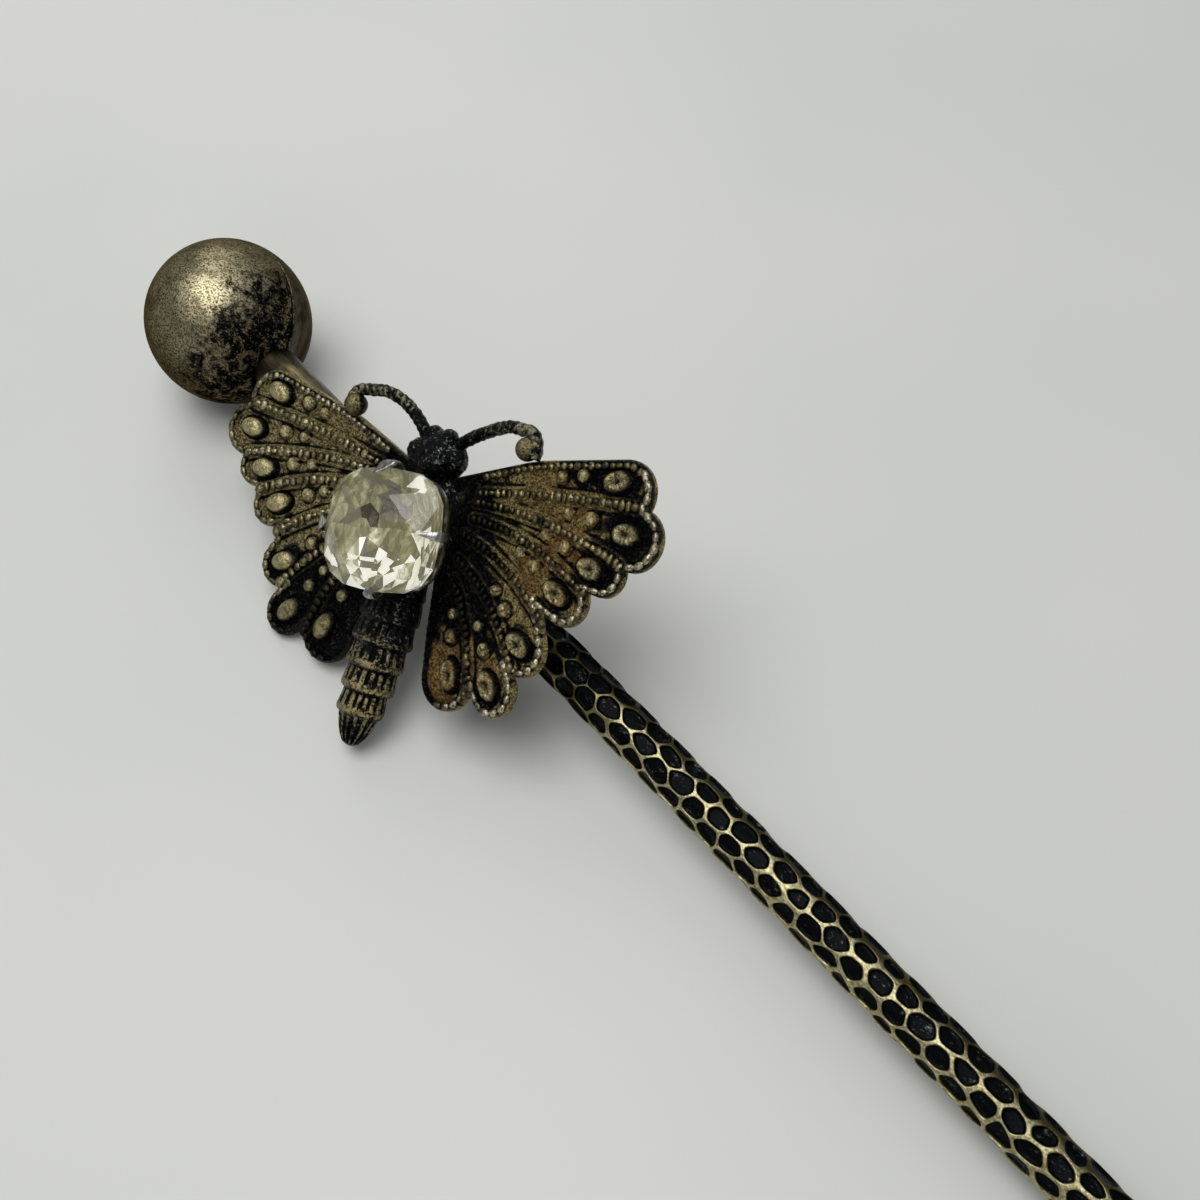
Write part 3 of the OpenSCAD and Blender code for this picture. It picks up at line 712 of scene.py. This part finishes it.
def add_ribs(at, z, soot, shine):
    """Raises the ribs, each between two thin lines."""
    ribs = np.full(len(at), np.inf)
    for bend in RIBS:
        ribs = np.minimum(ribs, line_distance(at, bent(bend, np.linspace(0, 1, 25))))
    z += 0.16 * (1 - step(ribs, 0.3, 0.45)) + 0.12 * hump(ribs, 0.52, 0.07) - 0.08 * hump(ribs, 0.72, 0.1)
    soot += 0.55 * hump(ribs, 0.72, 0.15) + 0.3 * (1 - step(ribs, 0.2, 0.4)) - 0.25 * hump(ribs, 0.52, 0.08)
    return z, soot, shine + 0.1 * hump(ribs, 0.52, 0.07)


def add_boss(side, i, at, z, soot, shine):
    """Raises a boss in a moat and a thin ring: an uneven cup on the right wing, a smooth dome on the left."""
    out = unit(np.array(BOSSES[i]) - root_of(i)[:2])
    off = at - BOSSES[i]
    share = np.hypot(off @ out / BOSS_HALF[0], off @ np.array((-out[1], out[0])) / BOSS_HALF[1])
    angle = np.arctan2(off[:, 1], off[:, 0])
    dome = BOSS_H * np.sqrt(np.clip(1 - share ** 2.2, 0, 1))
    polish = 1 - step(share, 0.5 if side == "right" else 0.62, 0.96)
    if side == "right":
        notches = 0.5 + 0.5 * np.cos(9 * angle + 1.5 * mottle(at, 0.7, 8))
        lower = step(-np.sin(angle), -0.3, 0.5)
        dome -= 0.6 * hump(share, 0, 0.36) * (share < 1) + 0.13 * notches * hump(share, 0.42, 0.2)
        dome *= 1 - 0.35 * notches * lower * step(share, 0.55, 0.85)
        soot += 1.6 * hump(share, 0, 0.42)
        polish *= 1 - hump(share, 0, 0.36)
    else:
        dome *= 1 + 0.05 * mottle(at, 0.45, 9)
    z = np.where(share < 1, np.maximum(z, dome), z)
    z -= 0.12 * hump(share, 1.1, 0.09) * (share > 1)
    z += 0.07 * hump(share, 1.3, 0.07) - 0.04 * hump(share, 1.46, 0.07)
    soot += 0.7 * hump(share, 1.04, 0.19) + 0.25 * hump(share, 1.46, 0.09)
    return z, soot, np.maximum(shine, polish)


def add_dot(place, r, at, z, soot, shine):
    """Raises a round dot."""
    share = away(at, *place) / r
    z = np.where(share < 1, np.maximum(z, DOT_H * np.sqrt(np.clip(1 - share ** 2, 0, 1))), z)
    soot += 0.5 * hump(share, 1.25, 0.25)
    return z, soot, np.maximum(shine, 0.85 * (1 - step(share, 0.55, 0.95)))


def wing_relief(side, at):
    """Height of the wing's face at each point, and how blackened, rusty and polished it is there."""
    x, y = at.T
    depth = wing_depth(at)
    z = np.interp(depth, *zip(*RIM))
    root = np.minimum(away(at, 3, 3), away(at, 3.5, -2))
    soot = 0.22 + 0.55 * (1 - step(root, 2.8, 7)) + 0.45 * hump(depth, 0.3, 0.4)
    z, soot, shine = add_ribs(at, z, soot, 0.08 * hump(depth, 0.12, 0.08))
    z += (0.05 * mottle(at, 0.3, 5) + 0.035 * mottle(at, 0.6, 6)) * step(depth, 0.2, 0.4)
    for i in range(len(BOSSES)):
        z, soot, shine = add_boss(side, i, at, z, soot, shine)
    for dots, r in zip((OUTER_DOTS, INNER_DOTS), DOT_R):
        for place in dots:
            z, soot, shine = add_dot(place, r, at, z, soot, shine)
    if side == "right":
        soot += 0.5 * (1 - step(depth, 1.2, 3.4)) * step(x, 11, 14) * step(y, -3, 1)
        soot += 0.38 * step(-y, 0, 3.5) * (1 - step(x, 8, 12)) + 0.12 * step(-y, 1, 5)
    else:
        tail = away(at, 8.5, -10.5)
        soot += 0.75 * (1 - step(tail, 3.5, 10.5)) - 0.03
        shine *= 0.6 + 0.4 * step(tail, 3, 7)
    rust = np.zeros(len(at))
    for spot_x, spot_y, r, strength in RUST[side]:
        rust = np.maximum(rust, strength * (1 - step(away(at, spot_x, spot_y), 0.5 * r, 1.2 * r)))
    soot -= 0.5 * rust * (1 - hump(depth, 0.3, 0.25)) + 0.4 * hump(depth, 0, 0.1)
    return z, soot, rust, np.clip(shine, 0, 1)


def onto_edge(at):
    """Moves points near the wing's outline onto it."""
    nudge = 0.01
    for _ in range(3):
        depth = wing_depth(at)
        slope = np.stack([(wing_depth(at + way) - depth) / nudge for way in ((nudge, 0), (0, nudge))], 1)
        slope /= np.maximum(np.linalg.norm(slope, axis=1, keepdims=True), 0.5)
        at = at - depth[:, None] * slope * 0.9
    return at


def wing_plate(side, material, pitch=0.11):
    """A fine sheet with the wing's relief on its face, a plain back and a closed edge."""
    xs, ys = np.arange(1.6, 23.3, pitch), np.arange(-12.4, 10.9, pitch)
    wide, tall = len(xs), len(ys)
    at = np.stack(np.meshgrid(xs, ys, indexing="ij"), -1)
    kept = wing_depth((at[:-1, :-1] + pitch / 2).reshape(-1, 2)).reshape(wide - 1, tall - 1) > 0
    at = at.reshape(-1, 2)
    # Each point's number of kept squares round it: 1 to 3 on the border
    around = np.zeros((wide, tall), int)
    for dx in (0, 1):
        for dy in (0, 1):
            around[dx:dx + wide - 1, dy:dy + tall - 1] += kept
    around = around.ravel()
    border = (around > 0) & (around < 4) & (at[:, 0] > 1.8)
    at[border] = onto_edge(at[border])
    at = at[around > 0]
    count = len(at)
    index = np.cumsum(around > 0) - 1
    first = np.flatnonzero(np.pad(kept, (0, 1)))
    cells = [tuple(cell) for cell in index[np.c_[first, first + tall, first + tall + 1, first + 1]].tolist()]
    edges = {(cell[k], cell[(k + 1) % 4]) for cell in cells for k in range(4)}
    walls = [(b, a, a + count, b + count) for a, b in edges if (b, a) not in edges]
    faces = cells + [tuple(k + count for k in reversed(cell)) for cell in cells] + walls
    z, soot, rust, shine = wing_relief(side, at)
    depth = wing_depth(at)
    back = -PLATE + 0.03 * np.sin(at[:, 0] * 1.7) * np.sin(at[:, 1] * 1.3) * step(depth, 0.2, 1.5)
    plain = 0.5 - 0.3 * hump(depth, 0, 0.1)
    marks = {"soot": np.r_[soot, plain], "rust": np.r_[rust, 0.2 * plain], "shine": np.r_[shine, 0 * plain]}
    points = np.concatenate([np.c_[at, z], np.c_[at, back]])
    return make(side + "_wing_plate", points, faces, WING[side], material, 50, marks)


def bead_tree():
    """Sets uneven oblong beads at a pitch along the lines of a mesh."""
    b = Grower("bead_course", {"Line": "Geometry", "Pitch": 0.6, "Length": 0.7, "Width": 0.6, "Height": 0.45,
                               "Unevenness": 0.25, "Seed": 3, "Finish": "Material"}, "Beads")
    line = b.geometry("MeshToCurve", Mesh=b.given["Line"])
    line = b.geometry("ResampleCurve", {"mode": "LENGTH"}, Curve=line, Length=b.given["Pitch"])
    along = b.geometry("InputTangent")
    turn = b.add("FunctionNodeAlignRotationToVector", {"axis": "X", "pivot_axis": "Z"}, {"Vector": along})
    girth = b.geometry("InputNamedAttribute", {"data_type": "FLOAT"}, Name="girth")
    uneven = b.uneven(b.given["Seed"]) * b.given["Unevenness"]
    other = b.uneven(b.given["Seed"] + 7) * b.given["Unevenness"]
    size = b.vector(b.given["Length"] * (1 + uneven) * girth, b.given["Width"] * (1 + other) * girth,
                    b.given["Height"] * (1 + uneven * 0.5))
    bead = b.geometry("MeshUVSphere", Segments=8, Rings=5, Radius=0.5)
    beads = b.geometry("InstanceOnPoints", Points=line, Instance=bead, Rotation=turn, Scale=size)
    return b.done(beads, b.given["Finish"])


def bead_course(side, tree, course, lines):
    """Beads along some lines. Each line is points with the beads' girth there as a fourth number."""
    points, edges = [], []
    for line in lines:
        edges += [(len(points) + k, len(points) + k + 1) for k in range(len(line) - 1)]
        points += [tuple(p) for p in line]
    mesh = bpy.data.meshes.new("line")
    mesh.from_pydata([p[:3] for p in points], edges, [])
    mark(mesh, "girth", [p[3] for p in points])
    piece = shown("line", mesh)
    sizes = BEADS.get(course) or BEADS[f"{side}_{course}"]
    names = ("Pitch", "Length", "Width", "Height", "Unevenness", "Seed")
    use_tree(piece, tree, Finish=bead_metal(side, course), **dict(zip(names, sizes)))
    return grown("beads", piece, WING[side], 180)


def rim_line(depth, start, stop, lift):
    """Points at a depth inside the wing's edge, between two directions from its middle."""
    middle = np.array((5.5, 0.8))
    out = np.arange(2, 22, 0.04)[:, None]
    line = []
    for turn in np.radians(np.arange(start, stop, -0.6)):
        ray = middle + out * (math.cos(turn), math.sin(turn))
        line.append(ray[np.flatnonzero(wing_depth(ray) > depth)[-1]])
    return np.c_[line, np.full(len(line), lift), np.ones(len(line))]


def wing_beads(side, tree):
    """Oblong beads round the lobes, small ones on the top edge and a course on each rib."""
    shares = np.linspace(0.02, 0.98, 60)
    ribs = [np.c_[bent(bend, shares), np.full(60, 0.19), 0.74 + 0.3 * shares] for bend in RIBS]
    courses = {"rim": [rim_line(0.36, 31, -86, 0.08)], "edge": [rim_line(0.5, 92, 32, 0.06)], "rib": ribs}
    return joined(side + "_wing_beads", [bead_course(side, tree, *course) for course in courses.items()])


# Body

TIER_LEN, TIER_R = 1.95, 2.75
SLOTS, TAIL_SLOTS = 18, 15
# Where the tiers start toward the tail, their middle's height there and climb, and their height to width
TIERS_FROM, TIERS_Z, CLIMB, FLATNESS = 2.9, 0.85, 0.075, 0.75
# Each tier's half width at its rim, as a share of the widest
TIERS = [0.93, 1, 1, 0.95, 0.89, 0.79]
# A tier's smooth rim: distance along it and half width, as shares, and how worn
TIER_RIM = [(0.69, 0.985, 0.9), (0.76, 1, 1), (0.86, 0.998, 1), (0.94, 0.975, 0.8), (0.99, 0.92, 0.1)]
# The tail as distance past the last tier and half width
TAIL = [(0.0, 1.85), (0.25, 1.79), (0.5, 1.7), (0.95, 1.56), (1.4, 1.38), (1.75, 1.2), (2.0, 1.05),
        (2.25, 0.86), (2.4, 0.72), (2.58, 0.3)]
# Balls that the head, eyes, brow and thorax are made of: x, y, z, then three half sizes
HEAD = [(0, 6.9, 0.1, 2.2, 2.2, 2), (1.85, 6.9, 0.5, 1.05, 1.2, 1.1), (-1.85, 6.9, 0.5, 1.05, 1.2, 1.1),
        (0.8, 8.65, 0.6, 0.68, 0.62, 0.7), (-0.8, 8.65, 0.6, 0.68, 0.62, 0.7),
        (0.2, 6.2, 1.1, 1.3, 1.2, 1.15), (0, 7.9, 1.2, 0.9, 0.6, 0.7), (0, 1.4, -0.3, 3.6, 5.2, 1.3)]
# The saddle's section: height and radius
SADDLE = [(-0.5, 3.1), (-0.75, 3.07), (-3.3, 2.46), (-3.5, 2.4), (-3.6, 2.25)]
# Where an antenna starts inside the head, its bend on each side, and its curl: middle and radius
FEELER_ROOT = (1.0, 7.4, 0.3)
FEELERS = {"right": ((2, 8.4, 0.45), (4.7, 10.1, 0.95), (7.4, 10.75, 1.25)),
           "left": ((2, 8.6, 0.45), (3.9, 10.9, 0.95), (7, 11, 1.25))}
CURL_AT, CURL_R = (8.05, 9.1, 1.3), 1.8
FEELER_R, TWIST = 0.55, 0.62
FEELER_BALL, FEELER_BALL_R = (9.05, 9.25, 1.4), 0.95


def abdomen(material):
    """Tiers that widen to a smooth rim, with lengthwise slots between, and a slotted tail."""
    around = 192
    a = angles(around)
    rows, highs = [], []

    def ring(distance, r, cut, high, slots):
        """One section of the body, which is darker near the stone and lighter toward the tail."""
        r = r * (1 + 0.012 * mottle(np.c_[2.4 * a, np.full(around, distance)], 0.5, 12)) - cut * slots
        rows.append(np.c_[r * np.cos(a), np.full(around, -TIERS_FROM - distance),
                          TIERS_Z + CLIMB * distance + FLATNESS * r * np.sin(a)])
        highs.append(high * (0.6 + 0.4 * step(distance, 2.5, 8.5)) - 1.1 * slots * (cut > 0))

    for k, share in enumerate(TIERS):
        rim = TIER_R * share
        wander = 0.6 * np.sin(3 * a + 2 * k) + 0.5 * np.sin(5 * a - k)
        slots = step(0.5 + 0.5 * np.cos(SLOTS * a + wander + 1.3 * k), 0.5, 0.9)
        for t in np.linspace(0, 0.66, 9):
            cut = 0.26 * step(t, 0.02, 0.14) * (1 - step(t, 0.52, 0.64))
            ring((k + t) * TIER_LEN, rim * (0.9 + 0.075 * t / 0.66), cut, 0.95 if t > 0.03 else 0.1, slots)
        for t, r, high in TIER_RIM:
            ring((k + t) * TIER_LEN, rim * r, 0.0, high, slots)
    slots = step(0.5 + 0.5 * np.cos(TAIL_SLOTS * a + 0.5 * np.sin(4 * a)), 0.3, 0.75)
    for distance, r in TAIL:
        cut = 0.3 * step(distance, 0.1, 0.5) * (1 - step(distance, 2.3, 2.6))
        ring(len(TIERS) * TIER_LEN + distance, r, cut, 0.8, slots)
    return tube("abdomen_tiers", rows, FLY, material, 55, {"high": np.concatenate(highs)})


def head(material):
    """One pitted skin over the stretched balls of the head and thorax."""
    shell = bmesh.new()
    for x, y, z, rx, ry, rz in HEAD:
        bmesh.ops.create_icosphere(shell, subdivisions=4, radius=1,
                                   matrix=Matrix.Translation((x, y, z)) @ Matrix.Diagonal((rx, ry, rz, 1)))
    mesh = bpy.data.meshes.new("head")
    shell.to_mesh(mesh)
    shell.free()
    piece = shown("head", mesh)
    skin = piece.modifiers.new("skin", "REMESH")
    skin.mode, skin.voxel_size = "VOXEL", 0.13
    ease = piece.modifiers.new("ease", "SMOOTH")
    ease.factor, ease.iterations = 0.5, 2
    piece = grown("head", piece, FLY, 180)
    for vertex in piece.data.vertices:
        pits = noise.noise(vertex.co * 1800) + 0.7 * noise.noise(vertex.co * 4200)
        vertex.co += vertex.normal * pits * 0.09 * MM
    piece.data.materials.append(material)
    mark(piece.data, "high", np.full(len(piece.data.vertices), 0.3))
    return piece


def saddle(material):
    """The foot under the thorax that sits over the shaft."""
    rows = [circle(r, z, 64) for z, r in SADDLE]
    return tube("saddle", rows, FLY, material, 40, {"high": np.full(64 * len(rows), 0.35)})


def feeler(side, material):
    """A twisted antenna that rises from the head and curls round a ball."""
    rise = bent(FEELERS[side], np.linspace(0, 1, 22))
    turns = np.radians(np.arange(62, -22, -6))
    curl = [np.add(CURL_AT, (CURL_R * math.cos(t), CURL_R * math.sin(t), 0)) for t in turns]
    line = np.concatenate([[FEELER_ROOT], rise[:-2], curl[1:]])
    cut = np.cumsum(np.r_[0, np.linalg.norm(np.diff(line, axis=0), axis=1)])
    even = np.arange(0, cut[-1], 0.09)
    line = eased(np.stack([np.interp(even, cut, line[:, k]) for k in range(3)], 1), 6)
    way = unit(np.gradient(line, axis=0))
    sideways = unit(np.cross(way, (0, 0, 1)))
    over = np.cross(sideways, way)
    rows, highs = [], []
    a = angles(16)
    for k, (middle, along) in enumerate(zip(line, even)):
        wave = 0.5 + 0.5 * np.cos(2 * a - along * 2 * math.pi / TWIST + 0.9 * math.sin(along * 2.3))
        knobs = mottle(np.c_[a, np.full(16, along)], 0.45, 14)
        r = FEELER_R * (0.88 + 0.1 * wave + 0.07 * knobs) * min(1, 0.8 + 0.04 * k)
        rows.append(middle + np.outer(r * np.cos(a), sideways[k]) + np.outer(r * np.sin(a), over[k]))
        highs.append(0.2 + (0.4 + 0.25 * wave + 0.2 * knobs) * min(1, 0.12 + along / 6))
    place = FLY if side == "right" else FLY @ MIRROR
    return tube(side + "_feeler", rows, place, material, 180, {"high": np.concatenate(highs)})


def feeler_ball(side, material):
    """The ball in an antenna's curl, with a painted highlight on its top and painted shade on its sides."""
    x, y, z = FEELER_BALL
    shell = bmesh.new()
    bmesh.ops.create_uvsphere(shell, u_segments=32, v_segments=20, radius=FEELER_BALL_R,
                              matrix=Matrix.Translation((x if side == "right" else -x, y, z)))
    points = [vertex.co[:] for vertex in shell.verts]
    faces = [tuple(vertex.index for vertex in face.verts) for face in shell.faces]
    shell.free()
    # Painted light: the ball's top is marked bright and its sides dark
    highs = [0.55 + 0.6 * (point[2] - 1.3) for point in points]
    return make(side + "_feeler_ball", points, faces, FLY, material, 180, {"high": highs})


def body():
    """Thorax, saddle, head with its eyes, antennae and abdomen."""
    dark = body_metal("head_metal", 0.2, (0.26, 0.26, 0.22), 0.2, 0.28)
    khaki = body_metal("abdomen_metal", 0.42, (0.43, 0.355, 0.165))
    olive = body_metal("feeler_metal", 0.33, (0.36, 0.32, 0.19))
    gold = body_metal("feeler_ball_metal", 0.34, (0.3, 0.25, 0.12), 0.22)
    sides = ("right", "left")
    pieces = [head(dark), saddle(dark), abdomen(khaki), *(feeler_ball(side, gold) for side in sides[::-1]),
              *(feeler(side, olive) for side in sides)]
    return joined("butterfly_body", pieces)


# Stone and setting

STONE_L, STONE_W, SQUARENESS = 11.7, 9.9, 2.9
GIRDLE, GIRDLE_T, CROWN, PAVILION = 4.5, 0.4, 1.7, 2.5
GIRDLE_TOP = GIRDLE + GIRDLE_T
# The crown's levels: share of the outline, corners, height and turn in corners
CROWN_LEVELS = [(0.56, 8, GIRDLE_TOP + CROWN, 0.5), (0.79, 8, GIRDLE_TOP + 0.56 * CROWN, 0),
                (0.985, 16, GIRDLE_TOP, 0), (0.985, 16, GIRDLE, 0)]
# The backing's section: share of the outline and height
BACKING = [(0.05, GIRDLE - PAVILION), (0.55, GIRDLE - 0.6 * PAVILION), (1, GIRDLE)]
# Shards of the backing painted with reflections and glints: x, y, radius, tone from 0 brown to 1 white
GLINTS = [(-1.6, 0.9, 0.75, 0.0), (-0.3, 2.2, 0.75, 0.27), (0.8, 1.5, 0.6, 0.3), (2.3, 3.0, 0.5, 1.0),
          (3.1, 3.4, 0.4, 0.9), (-0.6, -1.2, 0.6, 1.0), (1.0, -1.0, 0.6, 0.5), (-3.2, 0.6, 0.9, 0.4),
          (0.2, -3.9, 0.6, 0.3), (4.3, 0.8, 0.8, 0.42), (3.0, 1.6, 0.8, 0.42), (-2.6, 3.2, 0.9, 0.42)]
# The foil's usual tone, and the painted glint tones that the shards of the lower half take in turn
USUAL_TONE = 0.53
SPARKLE = [1.0, 0.5, 0.88, 0.38, 1.0, 0.7, 0.45]
# Each claw's direction, width, reach over the stone and the tip's shift to one side
CLAWS = [(0, 0.8, 1.1, 0), (90, 1.5, 0.7, 0.7), (180, 1.4, 1.2, -0.1), (270, 1, 0.5, 0.3)]
# The claw toward the abdomen, which has no arm under it
ARMLESS = 270
# Sections of the cup (height and radius) and of the collet (share of the outline and height)
CUP = [(1.15, 2.45), (1.22, 2.6), (1.5, 2.62), (1.6, 2.5), (1.55, 0.6)]
COLLET = [(0.94, 3.3), (0.955, 3.5), (0.94, 3.75), (0.86, 3.78), (0.83, 3.7), (0.83, 3.3), (0.87, 3.24)]


def cushion(share, count, z, turn=0.0):
    """Points round the stone's outline, a rounded oblong."""
    a = (np.arange(count) + turn) * 2 * math.pi / count
    outline = rounded_square(a, 2 / SQUARENESS) * (share * STONE_L / 2, share * STONE_W / 2)
    return np.c_[outline, np.full(count, z)]


def stone_share(p):
    """How far out a point lies in the stone's outline, 1 at its edge."""
    x, y = abs(p[0] * 2 / STONE_L), abs(p[1] * 2 / STONE_W)
    return (x ** SQUARENESS + y ** SQUARENESS) ** (1 / SQUARENESS)


def crown_faces(table, star, upper, lower):
    """Table, stars, kites and girdle facets from the first point of each level."""
    faces = [tuple(table + k for k in range(8))]
    for k in range(8):
        n = (k + 1) % 8
        faces.append((table + k, star + n, table + n))
        faces.append((table + k, star + k, upper + 2 * k + 1, star + n))
        faces.append((star + k, upper + 2 * k, upper + 2 * k + 1))
        faces.append((star + k, upper + (2 * k - 1) % 16, upper + 2 * k))
    for k in range(16):
        faces.append((upper + k, lower + k, lower + (k + 1) % 16, upper + (k + 1) % 16))
    return faces


def shard_tone(middle, number, rng):
    """The tone of one shard of the backing: the foil's own tone, with painted glints in the lower half and
    painted reflections on the shards in GLINTS.
    """
    tone = USUAL_TONE + rng.uniform(-0.08, 0.08)
    if middle[1] < -0.4 + 0.3 * middle[0] and stone_share(middle) < 0.93:
        tone = SPARKLE[number * 3 % len(SPARKLE)] + rng.uniform(-0.05, 0.05)
    for x, y, r, kind in GLINTS:
        if math.hypot(middle[0] - x, middle[1] - y) < r:
            tone = kind + rng.uniform(-0.06, 0.06)
    return tone


def gem():
    """A cushion-cut crown of glass over a foiled back of small flat shards."""
    rng = np.random.default_rng(21)
    levels = [cushion(*level) for level in CROWN_LEVELS]
    starts = np.cumsum([0] + [len(level) for level in levels])[:4]
    lower, rim = starts[3], len(levels[3])
    faces = crown_faces(*starts)
    glass = len(faces)
    inner = [(x + rng.uniform(-0.38, 0.38), y + rng.uniform(-0.38, 0.38))
             for x in np.arange(-4.7, 4.8, 1.04) for y in np.arange(-3.9, 4, 0.97)]
    spots = [Vector(p[:2]) for p in levels[3]] + [Vector(p) for p in inner if stone_share(p) < 0.86]
    flat, _, shards = delaunay_2d_cdt(spots, [], [], 0, 0.001)[:3]
    flat = [tuple(p) for p in flat]
    heights = [np.interp(stone_share(p), *zip(*BACKING)) for p in flat]
    heights = [z + (rng.uniform(-0.03, 0.32) if k >= rim else 0) for k, z in enumerate(heights)]
    faces += [tuple(lower + k for k in reversed(shard)) for shard in shards]
    points = np.concatenate([*levels[:3], np.c_[flat, heights]])
    stone = make("stone_cut", points, [tuple(map(int, face)) for face in faces], GEM, stone_glass(), 1)
    middles = [np.mean([flat[k] for k in shard], 0) for shard in shards]
    # Each shard's tone is the foil's colour with a painted reflection
    tones = [shard_tone(middle, number, rng) for number, middle in enumerate(middles)]
    stone.data.shade_flat()
    stone.data.materials.append(foil_metal())
    stone.data.polygons.foreach_set("material_index", [0] * glass + [1] * len(shards))
    mark(stone.data, "tone", [0.5] * glass + tones, "FACE")
    mark(stone.data, "bevel_weight_edge", [max(edge.vertices) < lower for edge in stone.data.edges], "EDGE")
    worn = stone.modifiers.new("worn_edges", "BEVEL")
    worn.limit_method, worn.width, worn.segments = "WEIGHT", 0.05 * MM, 1
    return stone


def claw(turn, wide, reach, shift, material):
    """A claw that rises from the cup and folds over the stone's edge."""
    side = (STONE_L if turn % 180 == 0 else STONE_W) / 2
    half, over = np.interp((reach * 0.45, reach), (0, side * 0.16, side * 0.44), (0, CROWN / 2, CROWN))
    # Stations from the cup to the tip: distance out, height, width, thickness, shift
    stations = [(2.2, 1.45, 1.5, 0.4, 0), (3.4, 2.3, 1.5, 0.4, 0), (0.83 * side + 0.3, 3.45, wide, 0.42, 0),
                (side + 0.3, 4.15, wide, 0.46, 0), (side + 0.33, GIRDLE_TOP, wide, 0.42, 0),
                (side + 0.08, GIRDLE_TOP + 0.36, wide * 0.95, 0.34, shift * 0.1),
                (side - reach * 0.45, GIRDLE_TOP + half + 0.24, wide * 0.62, 0.24, shift * 0.5),
                (side - reach, GIRDLE_TOP + over + 0.16, 0.16, 0.12, shift)]
    stations = np.array(stations[2 if turn == ARMLESS else 0:])
    spots = np.linspace(0, len(stations) - 1, 40)
    fine = eased(np.stack([np.interp(spots, range(len(stations)), column) for column in stations.T], 1), 5)
    section = rounded_square(angles(20), 0.6) / 2
    rows = []
    for (x, z, w, t, s), (dx, dz) in zip(fine, unit(np.gradient(fine[:, :2], axis=0))):
        rows.append(np.c_[x + section[:, 1] * t * dz, s + section[:, 0] * w, z - section[:, 1] * t * dx])
    return tube("claw", rows, GEM @ turned(turn, "Z"), material, 60)


def setting(material):
    """A cup and a collet with four claws that fold over the stone's edge."""
    points, faces = rings([circle(r, z, 64) for z, r in CUP])
    cup = make("cup", points, faces, GEM, material, 40)
    rows = [cushion(share, 96, z) for share, z in [*COLLET, COLLET[0]]]
    collet = tube("collet", rows, GEM, material, 50, closed=False)
    return joined("claw_setting", [cup, collet, *(claw(*row, material) for row in CLAWS)])


# Studio

# Soft lights in metres: place, aim, size, power
LIGHTS = [((-0.12, -0.1, 0.62), (-0.02, 0, 0), 0.5, 2.9),
          ((-0.45, 0.25, 0.35), (-0.02, 0, 0), 0.3, 0.5),
          ((0.3, -0.45, 0.3), (0, 0, 0), 0.3, 0.25)]
# The camera in metres: its place, and the directions to the right and up in its picture
CAMERA_AT = (0.021309, -0.030409, 0.099338)
CAMERA_RIGHT, CAMERA_UP = Vector((0.66711, 0.745, 0.00544)), Vector((-0.6298, 0.56006, 0.53815))
LENS = 40.7
FLOOR_HALF = 1.5


def studio():
    floor = bpy.data.meshes.new("floor")
    corners = [(x * FLOOR_HALF, y * FLOOR_HALF, 0) for x, y in ((-1, -1), (1, -1), (1, 1), (-1, 1))]
    floor.from_pydata(corners, [], [(0, 1, 2, 3)])
    floor.materials.append(floor_paint())
    shown("floor", floor)
    world = bpy.data.worlds.new("room")
    world.use_nodes = True
    background = world.node_tree.nodes["Background"]
    background.inputs["Color"].default_value = (0.93, 0.96, 1.0, 1)
    background.inputs["Strength"].default_value = 0.3
    bpy.context.scene.world = world
    for place, aim, size, power in LIGHTS:
        light = bpy.data.lights.new("soft_light", "AREA")
        light.size, light.energy = size, power
        lamp = shown("soft_light", light)
        lamp.location = place
        lamp.rotation_euler = (Vector(aim) - Vector(place)).to_track_quat("-Z", "Y").to_euler()
    camera = bpy.data.cameras.new("camera")
    camera.lens, camera.sensor_width = LENS, 36
    camera.clip_start, camera.clip_end = 0.001, 10
    looker = shown("camera", camera)
    axes = Matrix((CAMERA_RIGHT, CAMERA_UP, CAMERA_RIGHT.cross(CAMERA_UP))).transposed()
    looker.matrix_world = Matrix.Translation(CAMERA_AT) @ axes.to_4x4()
    bpy.context.scene.camera = looker
    bpy.context.scene.view_settings.view_transform = "Standard"


# Assembly


def keep(piece, node):
    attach(piece, "root")
    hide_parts(node)


studio()
keep(ball(), "ball")
keep(plain_shaft(), "shaft")
keep(honeycomb(), "shaft")
beads = bead_tree()
for side in ("right", "left"):
    keep(wing_plate(side, wing_metal(side)), "butterfly")
    keep(wing_beads(side, beads), "butterfly")
keep(body(), "butterfly")
keep(setting(silver_metal()), "setting")
keep(gem(), "stone")
